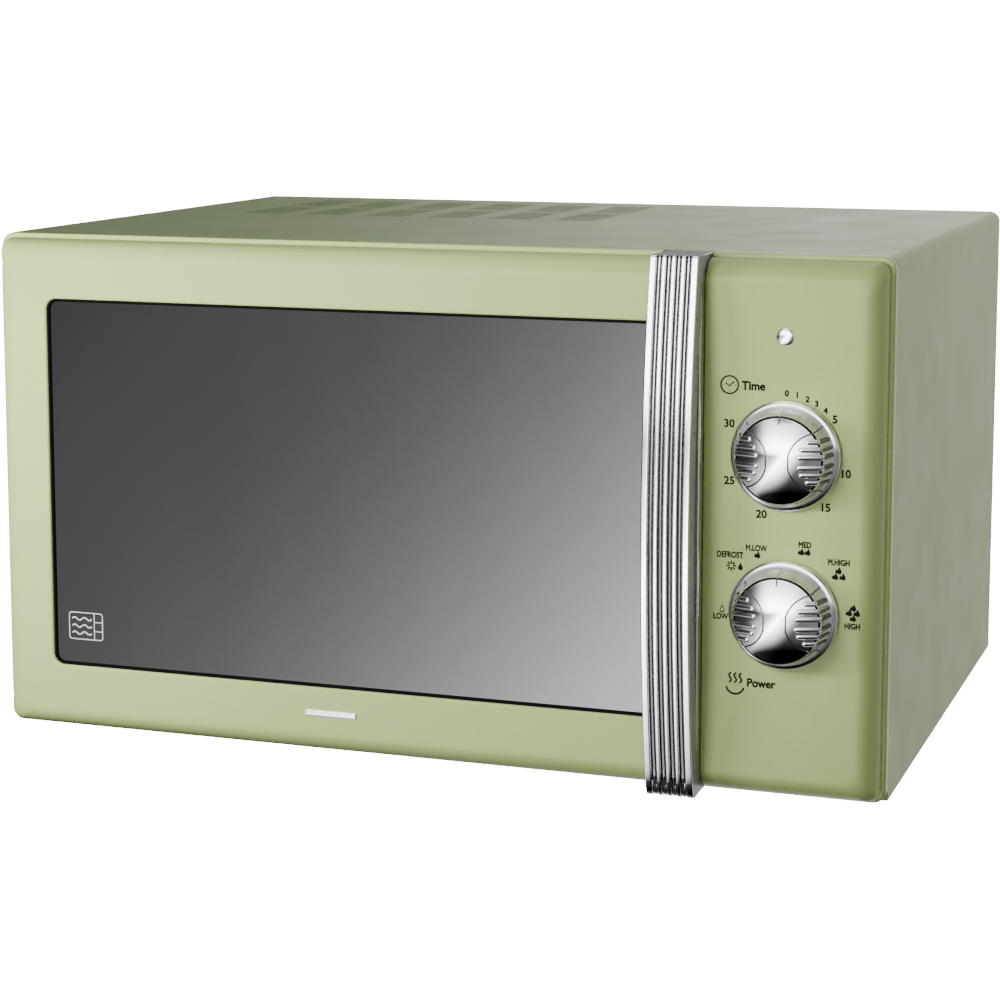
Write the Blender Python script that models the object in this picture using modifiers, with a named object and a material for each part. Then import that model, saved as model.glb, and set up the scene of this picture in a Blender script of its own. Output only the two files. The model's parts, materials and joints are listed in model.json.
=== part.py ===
"""Manual microwave oven with a hinged door, two knobs and a turntable, in metres, +Z up.

The origin is at the middle of the footprint, on the surface the feet stand on.
The front of the oven faces -Y, and +X is to the right of someone who stands in front of it.
"""

import math

import bmesh
import bpy
from mathutils import Matrix, Vector

MM = 0.001

# Overall size
WIDTH = 483 * MM
CASE_HEIGHT = 268 * MM
FOOT_HEIGHT = 13 * MM
BODY_DEPTH = 358 * MM
HANDLE_BOW = 24 * MM
SPACER_LENGTH = 14 * MM

HALF_W = WIDTH / 2
BOTTOM = FOOT_HEIGHT
TOP = BOTTOM + CASE_HEIGHT
MID_Z = (BOTTOM + TOP) / 2
FRONT = HANDLE_BOW - (BODY_DEPTH + HANDLE_BOW + SPACER_LENGTH) / 2
REAR = FRONT + BODY_DEPTH

# Clearances
TOUCH = 0.3 * MM
DOOR_GAP = 2 * MM
SEAM_X = 151.5 * MM
SEAM_HALF_GAP = 0.4 * MM
DOOR_RIGHT = SEAM_X - SEAM_HALF_GAP
PANEL_LEFT = SEAM_X + SEAM_HALF_GAP

# Front mouldings
MOULD_DEPTH = 17.5 * MM
PILLOW_RADIUS = 11 * MM
RIM_WIDTH = 2.5 * MM
RIM_WIDTH_BELOW = 1.5 * MM
RIM_FRONT = 13.2 * MM
OUTLINE_RADIUS = 6.5 * MM
FRONT_WALL = 2.1 * MM
FACE = FRONT + MOULD_DEPTH + DOOR_GAP
DOOR_HOLLOW = (-HALF_W + 14 * MM, DOOR_RIGHT - 3 * MM, BOTTOM + 10 * MM, TOP - 10 * MM)

# Steel choke ring in the door
CHOKE_LEFT = DOOR_HOLLOW[0] + 0.5 * MM
CHOKE_RIGHT = 125.5 * MM
CHOKE_LOW = DOOR_HOLLOW[2] + 0.5 * MM
CHOKE_HIGH = DOOR_HOLLOW[3] - 0.5 * MM
CHOKE_BAND = 15 * MM

# Sheet steel
SHEET = 1 * MM
CASING_CORNER = 6 * MM
HEM = 5 * MM

# Window in the door
WINDOW_LEFT = -208.5 * MM
WINDOW_RIGHT = 128 * MM
WINDOW_BOTTOM = 49 * MM
WINDOW_TOP = 248 * MM
WINDOW_RADIUS = 6.5 * MM

# Door hinge and latch
HINGE_X = -232 * MM
HINGE_Y = FRONT + 9.5 * MM
HINGE_PIN_R = 2 * MM
HINGE_SWEEP = 9.5 * MM
HINGE_HEIGHTS = (29 * MM, 265 * MM)
LUG_HALF_WIDTH = 4.5 * MM
HOOK_X = 136.5 * MM
HOOK_HEIGHTS = (95 * MM, 205 * MM)
LATCH_TRAVEL = 5 * MM

# Handle
HANDLE_LEFT = 126.8 * MM
HANDLE_RIGHT = DOOR_RIGHT
HANDLE_MID = (HANDLE_LEFT + HANDLE_RIGHT) / 2
HANDLE_END_PROUD = 11 * MM
HANDLE_THICK = 11 * MM
HANDLE_LEG = 14 * MM
HANDLE_WRAP = 8.2 * MM
HANDLE_SAGITTA = HANDLE_BOW - HANDLE_END_PROUD
HANDLE_HALF = CASE_HEIGHT / 2
BOW_RADIUS = (HANDLE_HALF ** 2 + HANDLE_SAGITTA ** 2) / (2 * HANDLE_SAGITTA)
RIB_WIDTHS = (3.6 * MM, 2.1 * MM, 2.1 * MM, 2.1 * MM, 3.6 * MM)
RIB_GROOVE = 0.9 * MM
RIB_BEAD = 1.0 * MM
RIB_DEPTH = 1.5 * MM

# Oven cavity, inside
CAVITY_LEFT = -213 * MM
CAVITY_RIGHT = 113 * MM
CAVITY_FLOOR = 36 * MM
CAVITY_TOP = 256 * MM
CAVITY_DEPTH = 300 * MM
CAVITY_FRONT = FACE + SHEET + TOUCH
CAVITY_X = (CAVITY_LEFT + CAVITY_RIGHT) / 2
CAVITY_Y = CAVITY_FRONT + CAVITY_DEPTH / 2
CAVITY_WALL = 0.8 * MM

# Turntable
TRAY_RADIUS = 135 * MM
ROLLER_RADIUS = 7 * MM
ROLLER_TRACK = 97 * MM
ROLLER_Z = CAVITY_FLOOR + ROLLER_RADIUS + 0.2 * MM
TRAY_UNDER = ROLLER_Z + ROLLER_RADIUS + 0.2 * MM

# Knobs
KNOB_X = 192.5 * MM
TIMER_Z = 185 * MM
POWER_Z = 107 * MM
KNOB_FLANGE_R = 27 * MM
KNOB_FACE_R = 20.3 * MM
KNOB_HEIGHT = 15 * MM
KNOB_DOME = 5 * MM
KNOB_RIB_STARTS = {2.5 * MM: 9.1 * MM, 6.1 * MM: 10.2 * MM, 9.8 * MM: 13 * MM}
KNOB_RIB_HALF = 1.3 * MM
SHAFT_R = 3 * MM

# Fan
FAN_X = 182 * MM
FAN_Z = 178 * MM
FAN_Y = 163 * MM
FAN_R = 45 * MM

# Parts behind the cavity's right wall
WAVE_Y = 40 * MM
WAVE_Z = 185 * MM
WAVE_LEFT = CAVITY_RIGHT + CAVITY_WALL + TOUCH
WAVE_DEPTH = 26 * MM
MAGNETRON_Z = WAVE_Z + 14 * MM
LAMP_Y = -95 * MM
LAMP_Z = 212 * MM

# Parts on the base
PLATE_TOP = BOTTOM + SHEET + TOUCH
FOOT_X = 195 * MM
FOOT_FRONT_Y = FRONT + 68 * MM
FOOT_REAR_Y = REAR - 34 * MM
TRANSFORMER_X = 180 * MM
TRANSFORMER_Y = -28 * MM
CAPACITOR_LEFT = 128 * MM
CAPACITOR_RIGHT = 180 * MM
CAPACITOR_HALF = 16 * MM
CAPACITOR_Y = 105 * MM
CAPACITOR_LENGTH = 90 * MM

# Rear panel
PANEL_BACK = REAR - SHEET - TOUCH
GLAND_X = 205 * MM
GLAND_Z = 45 * MM
SPACER_Z = 238 * MM

# Vents in the casing's top
TOP_VENT_LEFT = -185 * MM
TOP_VENT_PITCH = 39 * MM
TOP_VENT_LENGTH = 25 * MM
TOP_VENT_ROWS = (197 * MM, 267 * MM)


# ---------------------------------------------------------------- helpers

def start_scene():
    for old in list(bpy.data.objects):
        bpy.data.objects.remove(old, do_unlink=True)
    parts = bpy.data.collections.new("microwave_oven")
    cutters = bpy.data.collections.new("cutters")
    for group in (parts, cutters):
        bpy.context.scene.collection.children.link(group)
    return parts, cutters


PARTS, CUTTERS = start_scene()


def material(name, colour, roughness, metallic=0.0):
    made = bpy.data.materials.get(name)
    if made:
        return made
    made = bpy.data.materials.new(name)
    made.use_nodes = True
    shader = made.node_tree.nodes["Principled BSDF"]
    shader.inputs["Base Color"].default_value = (*colour, 1.0)
    shader.inputs["Roughness"].default_value = roughness
    shader.inputs["Metallic"].default_value = metallic
    made.diffuse_color = (*colour, 1.0)
    return made


FINISHES = {
    "green_steel": ((0.36, 0.39, 0.26), 0.42, 0.0),
    "green_plastic": ((0.42, 0.46, 0.29), 0.38, 0.0),
    "chrome": ((0.85, 0.85, 0.86), 0.06, 1.0),
    "zinc": ((0.62, 0.63, 0.64), 0.35, 1.0),
    "cavity_enamel": ((0.55, 0.55, 0.53), 0.4, 0.0),
    "glass_tint": ((0.12, 0.12, 0.12), 0.05, 0.0),
    "glass_clear": ((0.75, 0.8, 0.78), 0.05, 0.0),
    "black_plastic": ((0.03, 0.03, 0.03), 0.5, 0.0),
    "white_plastic": ((0.8, 0.8, 0.77), 0.5, 0.0),
    "rubber": ((0.05, 0.05, 0.05), 0.8, 0.0),
    "iron": ((0.2, 0.2, 0.2), 0.6, 1.0),
    "aluminium": ((0.75, 0.76, 0.77), 0.35, 1.0),
    "mica": ((0.6, 0.55, 0.42), 0.6, 0.0),
    "board": ((0.1, 0.3, 0.16), 0.5, 0.0),
}


def adopt(name, mesh, finish, group=None):
    """Make an object of a mesh, in the parts unless another collection is given."""
    made = bpy.data.objects.new(name, mesh)
    (group or PARTS).objects.link(made)
    if finish:
        mesh.materials.append(material(finish, *FINISHES[finish]))
    return made


def from_bmesh(name, bm, finish, group=None):
    bmesh.ops.recalc_face_normals(bm, faces=bm.faces)
    mesh = bpy.data.meshes.new(name)
    bm.to_mesh(mesh)
    bm.free()
    return adopt(name, mesh, finish, group)


def add_box(bm, low, high):
    """Add a box between two corners to a bmesh."""
    low = Vector(low)
    high = Vector(high)
    place = Matrix.Translation((low + high) / 2) @ Matrix.Diagonal((*(high - low), 1.0))
    return bmesh.ops.create_cube(bm, size=1.0, matrix=place)["verts"]


def box(name, low, high, finish, bevel=0.0, group=None):
    bm = bmesh.new()
    add_box(bm, low, high)
    made = from_bmesh(name, bm, finish, group)
    if bevel:
        round_edges(made, bevel)
    return made


AXIS_TURN = {
    "X": Matrix.Rotation(math.radians(90), 4, "Y"),
    "Y": Matrix.Rotation(math.radians(-90), 4, "X"),
    "Z": Matrix.Identity(4),
}


def add_cylinder(bm, start, axis, length, r1, r2=None, sides=24):
    """Add a cylinder or cone that runs from start along +axis."""
    turn = AXIS_TURN[axis]
    middle = Vector(start) + turn.to_3x3() @ Vector((0, 0, length / 2))
    bmesh.ops.create_cone(bm, cap_ends=True, cap_tris=False, segments=sides, radius1=r1,
                          radius2=r1 if r2 is None else r2, depth=length,
                          matrix=Matrix.Translation(middle) @ turn)


def cylinder(name, start, axis, length, r1, finish, r2=None, sides=24, group=None):
    bm = bmesh.new()
    add_cylinder(bm, start, axis, length, r1, r2, sides)
    return smooth(from_bmesh(name, bm, finish, group))


def hide_cutter(cutter):
    cutter.hide_render = True
    cutter.display_type = "WIRE"
    return cutter


def boolean(target, cutter, operation):
    change = target.modifiers.new(operation.lower(), "BOOLEAN")
    change.operation = operation
    change.solver = "EXACT"
    change.object = hide_cutter(cutter)
    return target


def cut(target, cutter):
    return boolean(target, cutter, "DIFFERENCE")


def join(target, extra):
    return boolean(target, extra, "UNION")


def cut_boxes(target, boxes):
    """Cut a list of separate boxes, each given by two corners."""
    bm = bmesh.new()
    for low, high in boxes:
        add_box(bm, low, high)
    return cut(target, from_bmesh(target.name + "_box_cuts", bm, None, CUTTERS))


def cut_holes(target, holes):
    """Cut a list of separate round holes: start, axis, length, radius, sides."""
    bm = bmesh.new()
    for start, axis, length, radius, sides in holes:
        add_cylinder(bm, start, axis, length, radius, sides=sides)
    return cut(target, from_bmesh(target.name + "_round_cuts", bm, None, CUTTERS))


def join_boxes(target, boxes):
    for number, (low, high) in enumerate(boxes):
        join(target, box(f"{target.name}_box_{number}", low, high, None, group=CUTTERS))
    return target


def join_cylinders(target, rods):
    """Join round pieces: start, axis, length, radius, sides."""
    for number, (start, axis, length, radius, sides) in enumerate(rods):
        name = f"{target.name}_rod_{number}"
        join(target, cylinder(name, start, axis, length, radius, None, sides=sides, group=CUTTERS))
    return target


def round_edges(target, width, segments=2, angle=40):
    change = target.modifiers.new("round", "BEVEL")
    change.width = width
    change.segments = segments
    change.limit_method = "ANGLE"
    change.angle_limit = math.radians(angle)
    return target


def thicken(target, thickness, offset=-1.0):
    change = target.modifiers.new("sheet", "SOLIDIFY")
    change.thickness = thickness
    change.offset = offset
    change.use_even_offset = True
    return target


def smooth(target, angle=35):
    target.data.shade_smooth()
    target.data.set_sharp_from_angle(angle=math.radians(angle))
    return target


def turned(name, profile, place, finish, sides=32, group=None):
    """Turn a closed profile of (radius, height) about Z, then place it by a matrix."""
    bm = bmesh.new()
    points = [bm.verts.new((radius, 0, height)) for radius, height in profile]
    on_axis = profile[0][0] < 1e-9
    pairs = list(zip(points, points[1:]))
    if not on_axis:
        pairs.append((points[-1], points[0]))
    for first, second in pairs:
        bm.edges.new((first, second))
    mesh = bpy.data.meshes.new(name)
    bm.to_mesh(mesh)
    bm.free()
    made = adopt(name, mesh, finish, group)
    spin = made.modifiers.new("turn", "SCREW")
    spin.steps = sides
    spin.render_steps = sides
    spin.use_merge_vertices = True
    spin.merge_threshold = 0.00001
    spin.use_normal_calculate = False
    made.matrix_world = place
    return smooth(made)


def at(x, y, z, axis="Z"):
    return Matrix.Translation((x, y, z)) @ AXIS_TURN[axis]


def loft(name, loops, finish, ring=False, group=None):
    """Bridge closed loops of equally many points; a ring also joins the last to the first."""
    bm = bmesh.new()
    rows = [[bm.verts.new(point) for point in loop] for loop in loops]
    joints = list(zip(rows, rows[1:]))
    if ring:
        joints.append((rows[-1], rows[0]))
    for near, far in joints:
        for i in range(len(near)):
            j = (i + 1) % len(near)
            bm.faces.new((near[i], near[j], far[j], far[i]))
    if not ring:
        bm.faces.new(rows[0])
        bm.faces.new(rows[-1])
    return from_bmesh(name, bm, finish, group)


def front_loop(left, right, low, high, radius_left, radius_right, y, corner_steps=5):
    """A rounded rectangle that faces the front, as points at depth y."""
    corners = (
        (left, low, radius_left, 180),
        (right, low, radius_right, 270),
        (right, high, radius_right, 0),
        (left, high, radius_left, 90),
    )
    points = []
    for x, z, radius, start in corners:
        centre_x = x + radius if x == left else x - radius
        centre_z = z + radius if z == low else z - radius
        for step in range(corner_steps + 1):
            turn = math.radians(start + 90 * step / corner_steps)
            points.append((centre_x + radius * math.cos(turn), y, centre_z + radius * math.sin(turn)))
    return points


def coil_points(x, y, low, high, radius, turns, per_turn=6):
    count = turns * per_turn
    points = []
    for step in range(count + 1):
        angle = 2 * math.pi * step / per_turn
        height = low + (high - low) * step / count
        points.append((x + radius * math.cos(angle), y + radius * math.sin(angle), height))
    return points


def tube(name, points, radius, finish, group=None):
    """A round wire along straight steps, made a welded mesh."""
    curve = bpy.data.curves.new(name + "_path", "CURVE")
    curve.dimensions = "3D"
    curve.bevel_depth = radius
    curve.bevel_resolution = 0
    curve.use_fill_caps = True
    line = curve.splines.new("POLY")
    line.points.add(len(points) - 1)
    for place, point in zip(line.points, points):
        place.co = (*point, 1.0)
    return curve_to_mesh(name, curve, Matrix.Identity(4), finish, group)


def curve_to_mesh(name, curve, place, finish, group=None):
    source = bpy.data.objects.new(name + "_curve", curve)
    bpy.context.scene.collection.objects.link(source)
    source.matrix_world = place
    bpy.context.view_layer.update()
    graph = bpy.context.evaluated_depsgraph_get()
    mesh = bpy.data.meshes.new_from_object(source.evaluated_get(graph))
    mesh.name = name
    bpy.data.objects.remove(source, do_unlink=True)
    bm = bmesh.new()
    bm.from_mesh(mesh)
    bmesh.ops.remove_doubles(bm, verts=bm.verts, dist=0.000001)
    bmesh.ops.recalc_face_normals(bm, faces=bm.faces)
    bm.to_mesh(mesh)
    bm.free()
    mesh.materials.clear()
    made = adopt(name, mesh, finish, group)
    made.matrix_world = place
    return made


def flat_shape(name, outlines, thickness, place, finish, group=None):
    """Fill flat outlines (the first outside, the others holes) and give them a thickness."""
    curve = bpy.data.curves.new(name + "_outline", "CURVE")
    curve.dimensions = "2D"
    curve.fill_mode = "BOTH"
    curve.extrude = thickness / 2
    for outline in outlines:
        line = curve.splines.new("POLY")
        line.use_cyclic_u = True
        line.points.add(len(outline) - 1)
        for spot, (x, y) in zip(line.points, outline):
            spot.co = (x, y, 0.0, 1.0)
    return curve_to_mesh(name, curve, place, finish, group)


def arc(cx, cy, radius, start, end, steps):
    """Points of a flat arc, in degrees."""
    points = []
    for step in range(steps + 1):
        turn = math.radians(start + (end - start) * step / steps)
        points.append((cx + radius * math.cos(turn), cy + radius * math.sin(turn)))
    return points


def carry(name, spot, pieces, parent=None):
    """Hang pieces on an empty that stands on their joint's axis."""
    axis = bpy.data.objects.new(name, None)
    PARTS.objects.link(axis)
    axis.matrix_world = Matrix.Translation(spot)
    axis.empty_display_size = 0.02
    bpy.context.view_layer.update()
    for piece in pieces:
        piece.parent = axis
        piece.matrix_parent_inverse = axis.matrix_world.inverted()
    if parent:
        axis.parent = parent
        axis.matrix_parent_inverse = parent.matrix_world.inverted()
    return axis


# ---------------------------------------------------------------- front mouldings

def pillow_loops(left, right, rim_left, rim_right, depth):
    """Loops of a pillow moulding from its back edge, over the rim, to the flat front.

    rim_left and rim_right are 1 on a side with the full rim and round, or 0 on a plain side.
    """
    def section(rim, rounding, depth_here):
        corner = OUTLINE_RADIUS + 0.35 * rounding - 0.4 * rim * RIM_WIDTH
        plain = 0.6 * MM
        inset_side = rim * RIM_WIDTH + rounding
        below = rim * RIM_WIDTH_BELOW + rounding
        return front_loop(
            left + inset_side * rim_left, right - inset_side * rim_right,
            BOTTOM + below, TOP - inset_side,
            corner if rim_left else plain, corner if rim_right else plain,
            FRONT + depth_here)

    loops = [
        section(0, 0, depth),
        section(0, 0, RIM_FRONT + 0.8 * MM),
        section(0.25, 0, RIM_FRONT + 0.1 * MM),
        section(1, 0, RIM_FRONT),
    ]
    steps = 6
    for step in range(steps + 1):
        turn = math.radians(90 * step / steps)
        rounding = PILLOW_RADIUS * (1 - math.cos(turn))
        loops.append(section(1, rounding, PILLOW_RADIUS * (1 - math.sin(turn))))
    return loops


def window_loop(grow, depth):
    return front_loop(WINDOW_LEFT - grow, WINDOW_RIGHT + grow, WINDOW_BOTTOM - grow,
                      WINDOW_TOP + grow, WINDOW_RADIUS + grow, WINDOW_RADIUS + grow, FRONT + depth)


def hinge_clearance():
    """The corner left outside a round about the pins, which lets the door's back edge turn."""
    reach = 15 * MM
    outline = arc(HINGE_X, HINGE_Y, HINGE_SWEEP, 90, 180, 8)
    outline += [(HINGE_X - reach, HINGE_Y), (HINGE_X - reach, HINGE_Y + reach)]
    outline.append((HINGE_X, HINGE_Y + reach))
    return flat_shape("hinge_clearance", [outline], CASE_HEIGHT + 20 * MM,
                      Matrix.Translation((0, 0, MID_Z)), None, CUTTERS)


def door_frame():
    loops = pillow_loops(-HALF_W, DOOR_RIGHT, 1, 0, MOULD_DEPTH)
    loops += [
        window_loop(0, 0),
        window_loop(-0.9 * MM, 0.3 * MM),
        window_loop(-1.5 * MM, 1.0 * MM),
        window_loop(-1.7 * MM, FRONT_WALL),
    ]
    left, right, low, high = DOOR_HOLLOW
    radius = 5 * MM
    loops += [
        front_loop(left, right, low, high, radius, radius, FRONT + FRONT_WALL + 0.3 * MM),
        front_loop(left, right, low, high, radius, radius, FRONT + MOULD_DEPTH),
    ]
    frame = smooth(loft("door_frame", loops, "green_plastic", ring=True), 30)
    notch = HANDLE_LEFT - TOUCH
    pockets = []
    half = 1.6 * MM
    for height in HINGE_HEIGHTS:
        pockets.append(((-HALF_W - MM, FRONT + 3.5 * MM, height - half),
                        (HINGE_X + LUG_HALF_WIDTH + 0.6 * MM, FRONT + MOULD_DEPTH + MM, height + half)))
    wrap = HANDLE_WRAP + TOUCH
    pockets.append(((notch, FRONT - MM, BOTTOM - MM), (DOOR_RIGHT + MM, FACE, BOTTOM + wrap)))
    pockets.append(((notch, FRONT - MM, TOP - wrap), (DOOR_RIGHT + MM, FACE, TOP + MM)))
    cut_boxes(frame, pockets)
    cut(frame, hinge_clearance())
    holes = []
    for height in HINGE_HEIGHTS:
        start = (HINGE_X, HINGE_Y, height - 5.5 * MM)
        holes.append((start, "Z", 11 * MM, HINGE_PIN_R + 0.1 * MM, 24))
    for height in handle_screw_heights():
        holes.append(((HANDLE_MID, FRONT - MM, height), "Y", 6 * MM, 2.2 * MM, 16))
    cut_holes(frame, holes)
    return frame


def door_glass():
    overlap = 5 * MM
    front = FRONT + FRONT_WALL + 0.6 * MM
    low = (WINDOW_LEFT - overlap, front, WINDOW_BOTTOM - overlap)
    high = (HANDLE_LEFT + 4 * MM, front + 3 * MM, WINDOW_TOP + overlap)
    return box("door_glass", low, high, "glass_tint", bevel=0.5 * MM)


def choke_frame():
    """A folded steel ring: an outer wall, a floor, and a lip that leaves a slot at the back."""
    wall = 0.8 * MM

    def loop(inset, depth):
        return front_loop(CHOKE_LEFT + inset, CHOKE_RIGHT - inset, CHOKE_LOW + inset,
                          CHOKE_HIGH - inset, 4 * MM, 4 * MM, FRONT + depth, corner_steps=2)

    floor = 6.2 * MM
    back = 15.8 * MM
    lip = 6 * MM
    loops = [
        loop(0, back),
        loop(0, floor),
        loop(CHOKE_BAND, floor),
        loop(CHOKE_BAND, floor + 2.4 * MM),
        loop(CHOKE_BAND - wall, floor + 2.4 * MM),
        loop(CHOKE_BAND - wall, floor + wall),
        loop(wall, floor + wall),
        loop(wall, back - wall),
        loop(lip, back - wall),
        loop(lip, back),
    ]
    return loft("choke_frame", loops, "zinc", ring=True)


def door_screen():
    inset = CHOKE_BAND + TOUCH
    depth = FRONT + 7.2 * MM
    loops = []
    for back in (0.0, 0.6 * MM):
        loops.append(front_loop(CHOKE_LEFT + inset, CHOKE_RIGHT - inset, CHOKE_LOW + inset,
                                CHOKE_HIGH - inset, 4 * MM, 4 * MM, depth + back, corner_steps=2))
    return loft("door_screen", loops, "zinc")


def door_inner_film():
    inset = 7 * MM
    depth = FRONT + 16.1 * MM
    return box("door_inner_film", (CHOKE_LEFT + inset, depth, CHOKE_LOW + inset),
               (CHOKE_RIGHT - inset, depth + 0.5 * MM, CHOKE_HIGH - inset), "glass_clear")


def choke_cover():
    """A plastic ring that closes the back of the door, with slots for the latch hooks."""
    gap = 0.5 * MM
    left, right, low, high = DOOR_HOLLOW
    window_inset = 20 * MM

    def outer(depth):
        return front_loop(left + gap, right - gap, low + gap, high - gap, 4 * MM, 4 * MM,
                          FRONT + depth, corner_steps=3)

    def inner(depth, grow=0.0):
        return front_loop(CHOKE_LEFT + window_inset - grow, CHOKE_RIGHT - window_inset + grow,
                          CHOKE_LOW + window_inset - grow, CHOKE_HIGH - window_inset + grow,
                          5 * MM, 5 * MM, FRONT + depth, corner_steps=3)

    front = 16.9 * MM
    back = MOULD_DEPTH + 0.4 * MM
    cover = loft("choke_cover", [outer(front), outer(back), inner(back, 0.4 * MM), inner(front)],
                 "black_plastic", ring=True)
    slots = []
    for height in HOOK_HEIGHTS:
        slots.append(((HOOK_X - 2.4 * MM, FRONT + 16 * MM, height - 6 * MM),
                      (HOOK_X + 2.4 * MM, FRONT + 19 * MM, height + 6 * MM + LATCH_TRAVEL)))
    return cut_boxes(cover, slots)


# ---------------------------------------------------------------- handle

def bow_front(height):
    """How far the bar's front stands in front of the door at a height."""
    offset = height - MID_Z
    return HANDLE_BOW - BOW_RADIUS + math.sqrt(BOW_RADIUS ** 2 - offset ** 2)


def handle_screw_heights():
    return (BOTTOM + 15.5 * MM, TOP - 15.5 * MM)


def ribbed_profile():
    """The bar's front from left to right: (across, depth below the rib tops)."""
    side = 1.0 * MM
    side_round = 0.8 * MM
    rib_round = 0.45 * MM
    flank = 0.5 * MM
    slope = 0.25 * MM
    bead_top = 0.7 * MM
    points = [(0.0, side)]
    across = 0.0
    last = len(RIB_WIDTHS) - 1
    total = sum(RIB_WIDTHS) + last * (2 * RIB_GROOVE + RIB_BEAD)
    scale = (HANDLE_RIGHT - HANDLE_LEFT) / total
    for number, rib in enumerate(RIB_WIDTHS):
        points.append((across + (side_round if number == 0 else rib_round), 0.0))
        across += rib * scale
        points.append((across - (side_round if number == last else rib_round), 0.0))
        if number == last:
            points.append((across, side))
            break
        points.append((across, flank))
        points.append((across + slope, RIB_DEPTH))
        points.append((across + (RIB_GROOVE - 0.1 * MM) * scale, RIB_DEPTH))
        across += RIB_GROOVE * scale
        points.append((across, bead_top))
        across += RIB_BEAD * scale
        points.append((across, bead_top))
        points.append((across + 0.1 * MM * scale, RIB_DEPTH))
        across += RIB_GROOVE * scale
        points.append((across - slope, RIB_DEPTH))
        points.append((across, flank))
    return points


def handle_bar():
    front = ribbed_profile()
    stations = 10
    low = BOTTOM + TOUCH
    high = TOP - TOUCH
    loops = []
    for step in range(stations + 1):
        height = low + (high - low) * step / stations
        proud = bow_front(height)
        loop = [(HANDLE_LEFT + across, FRONT - proud + below, height) for across, below in front]
        back = FRONT - proud + HANDLE_THICK
        inset = 0.8 * MM
        loop.append((HANDLE_RIGHT, back - inset, height))
        loop.append((HANDLE_RIGHT - inset, back, height))
        loop.append((HANDLE_LEFT + inset, back, height))
        loop.append((HANDLE_LEFT, back - inset, height))
        loops.append(loop)
    bar = loft("handle_bar", loops, "chrome")
    leg_front = FRONT - HANDLE_END_PROUD + 2.5 * MM
    near = FRONT - TOUCH
    deep = FRONT + MOULD_DEPTH - TOUCH
    legs = [
        ((HANDLE_LEFT, leg_front, low), (HANDLE_RIGHT, near, BOTTOM + HANDLE_LEG)),
        ((HANDLE_LEFT, leg_front, TOP - HANDLE_LEG), (HANDLE_RIGHT, near, high)),
        ((HANDLE_LEFT, leg_front, low), (HANDLE_RIGHT, deep, BOTTOM + HANDLE_WRAP)),
        ((HANDLE_LEFT, leg_front, TOP - HANDLE_WRAP), (HANDLE_RIGHT, deep, high)),
    ]
    join_boxes(bar, legs)
    holes = []
    for height in handle_screw_heights():
        holes.append(((HANDLE_MID, FRONT - 6 * MM, height), "Y", 8 * MM, 1.6 * MM, 12))
    cut_holes(bar, holes)
    return smooth(bar, 25)


def handle_base():
    """The chrome strip on the door under the bar, between the two legs."""
    low = BOTTOM + HANDLE_LEG + TOUCH + 6 * MM
    high = TOP - HANDLE_LEG - TOUCH - 6 * MM
    side = 0.4 * MM
    return box("handle_base", (HANDLE_LEFT + side, FRONT - 2.6 * MM, low),
               (HANDLE_RIGHT - side, FRONT - TOUCH, high), "chrome", bevel=0.8 * MM)


def handle_screws():
    screws = []
    for name, height in zip(("handle_screw_lower", "handle_screw_upper"), handle_screw_heights()):
        screw = cylinder(name, (HANDLE_MID, FRONT - 5.5 * MM, height), "Y", 8.5 * MM, 1.5 * MM,
                         "zinc", sides=12)
        join_cylinders(screw, [((HANDLE_MID, FRONT + 2.8 * MM, height), "Y", 2 * MM, 3.4 * MM, 16)])
        screws.append(screw)
    return screws


# ---------------------------------------------------------------- latch

def latch_hooks():
    depth_front = FRONT + 6 * MM
    depth_back = FRONT + 13 * MM
    half = 1.5 * MM
    low, high = HOOK_HEIGHTS
    bar = box("latch_hooks", (HOOK_X - half, depth_front, low - 9 * MM),
              (HOOK_X + half, depth_back, high + 9 * MM), "white_plastic")
    reach = FACE + 13 * MM
    arms = []
    for height in HOOK_HEIGHTS:
        arms.append(((HOOK_X - half, depth_front + 2 * MM, height - 2 * MM),
                     (HOOK_X + half, reach, height + 4.5 * MM)))
        arms.append(((HOOK_X - half, reach - 5 * MM, height - 5 * MM),
                     (HOOK_X + half, reach, height)))
    spring_top = MID_Z + 3 * MM
    arms.append(((HOOK_X, depth_front + MM, spring_top + TOUCH),
                 (HOOK_X + 8.5 * MM, depth_back - MM, spring_top + 3 * MM)))
    return join_boxes(bar, arms)


def latch_spring():
    coil = coil_points(HOOK_X + 5.6 * MM, FRONT + 9.5 * MM, MID_Z - 20 * MM, MID_Z + 2.3 * MM,
                       radius=2.2 * MM, turns=6)
    return smooth(tube("latch_spring", coil, 0.4 * MM, "zinc"))


def latch_board():
    low_z = HOOK_HEIGHTS[0] - 20 * MM
    high_z = HOOK_HEIGHTS[1] + 20 * MM
    front = FACE + SHEET + TOUCH
    board = box("latch_board", (HOOK_X - 9 * MM, front, low_z),
                (HOOK_X + 13 * MM, front + 34 * MM, high_z), "white_plastic", bevel=MM)
    pockets = []
    for height in HOOK_HEIGHTS:
        pockets.append(((HOOK_X - 3 * MM, front - MM, height - 8 * MM),
                        (HOOK_X + 4 * MM, front + 16 * MM, height + 12 * MM)))
    pockets.append(((HOOK_X - 4 * MM, front + 8 * MM, HOOK_HEIGHTS[0] + 18 * MM),
                    (HOOK_X + 16 * MM, front + 36 * MM, HOOK_HEIGHTS[1] - 18 * MM)))
    return cut_boxes(board, pockets)


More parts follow.
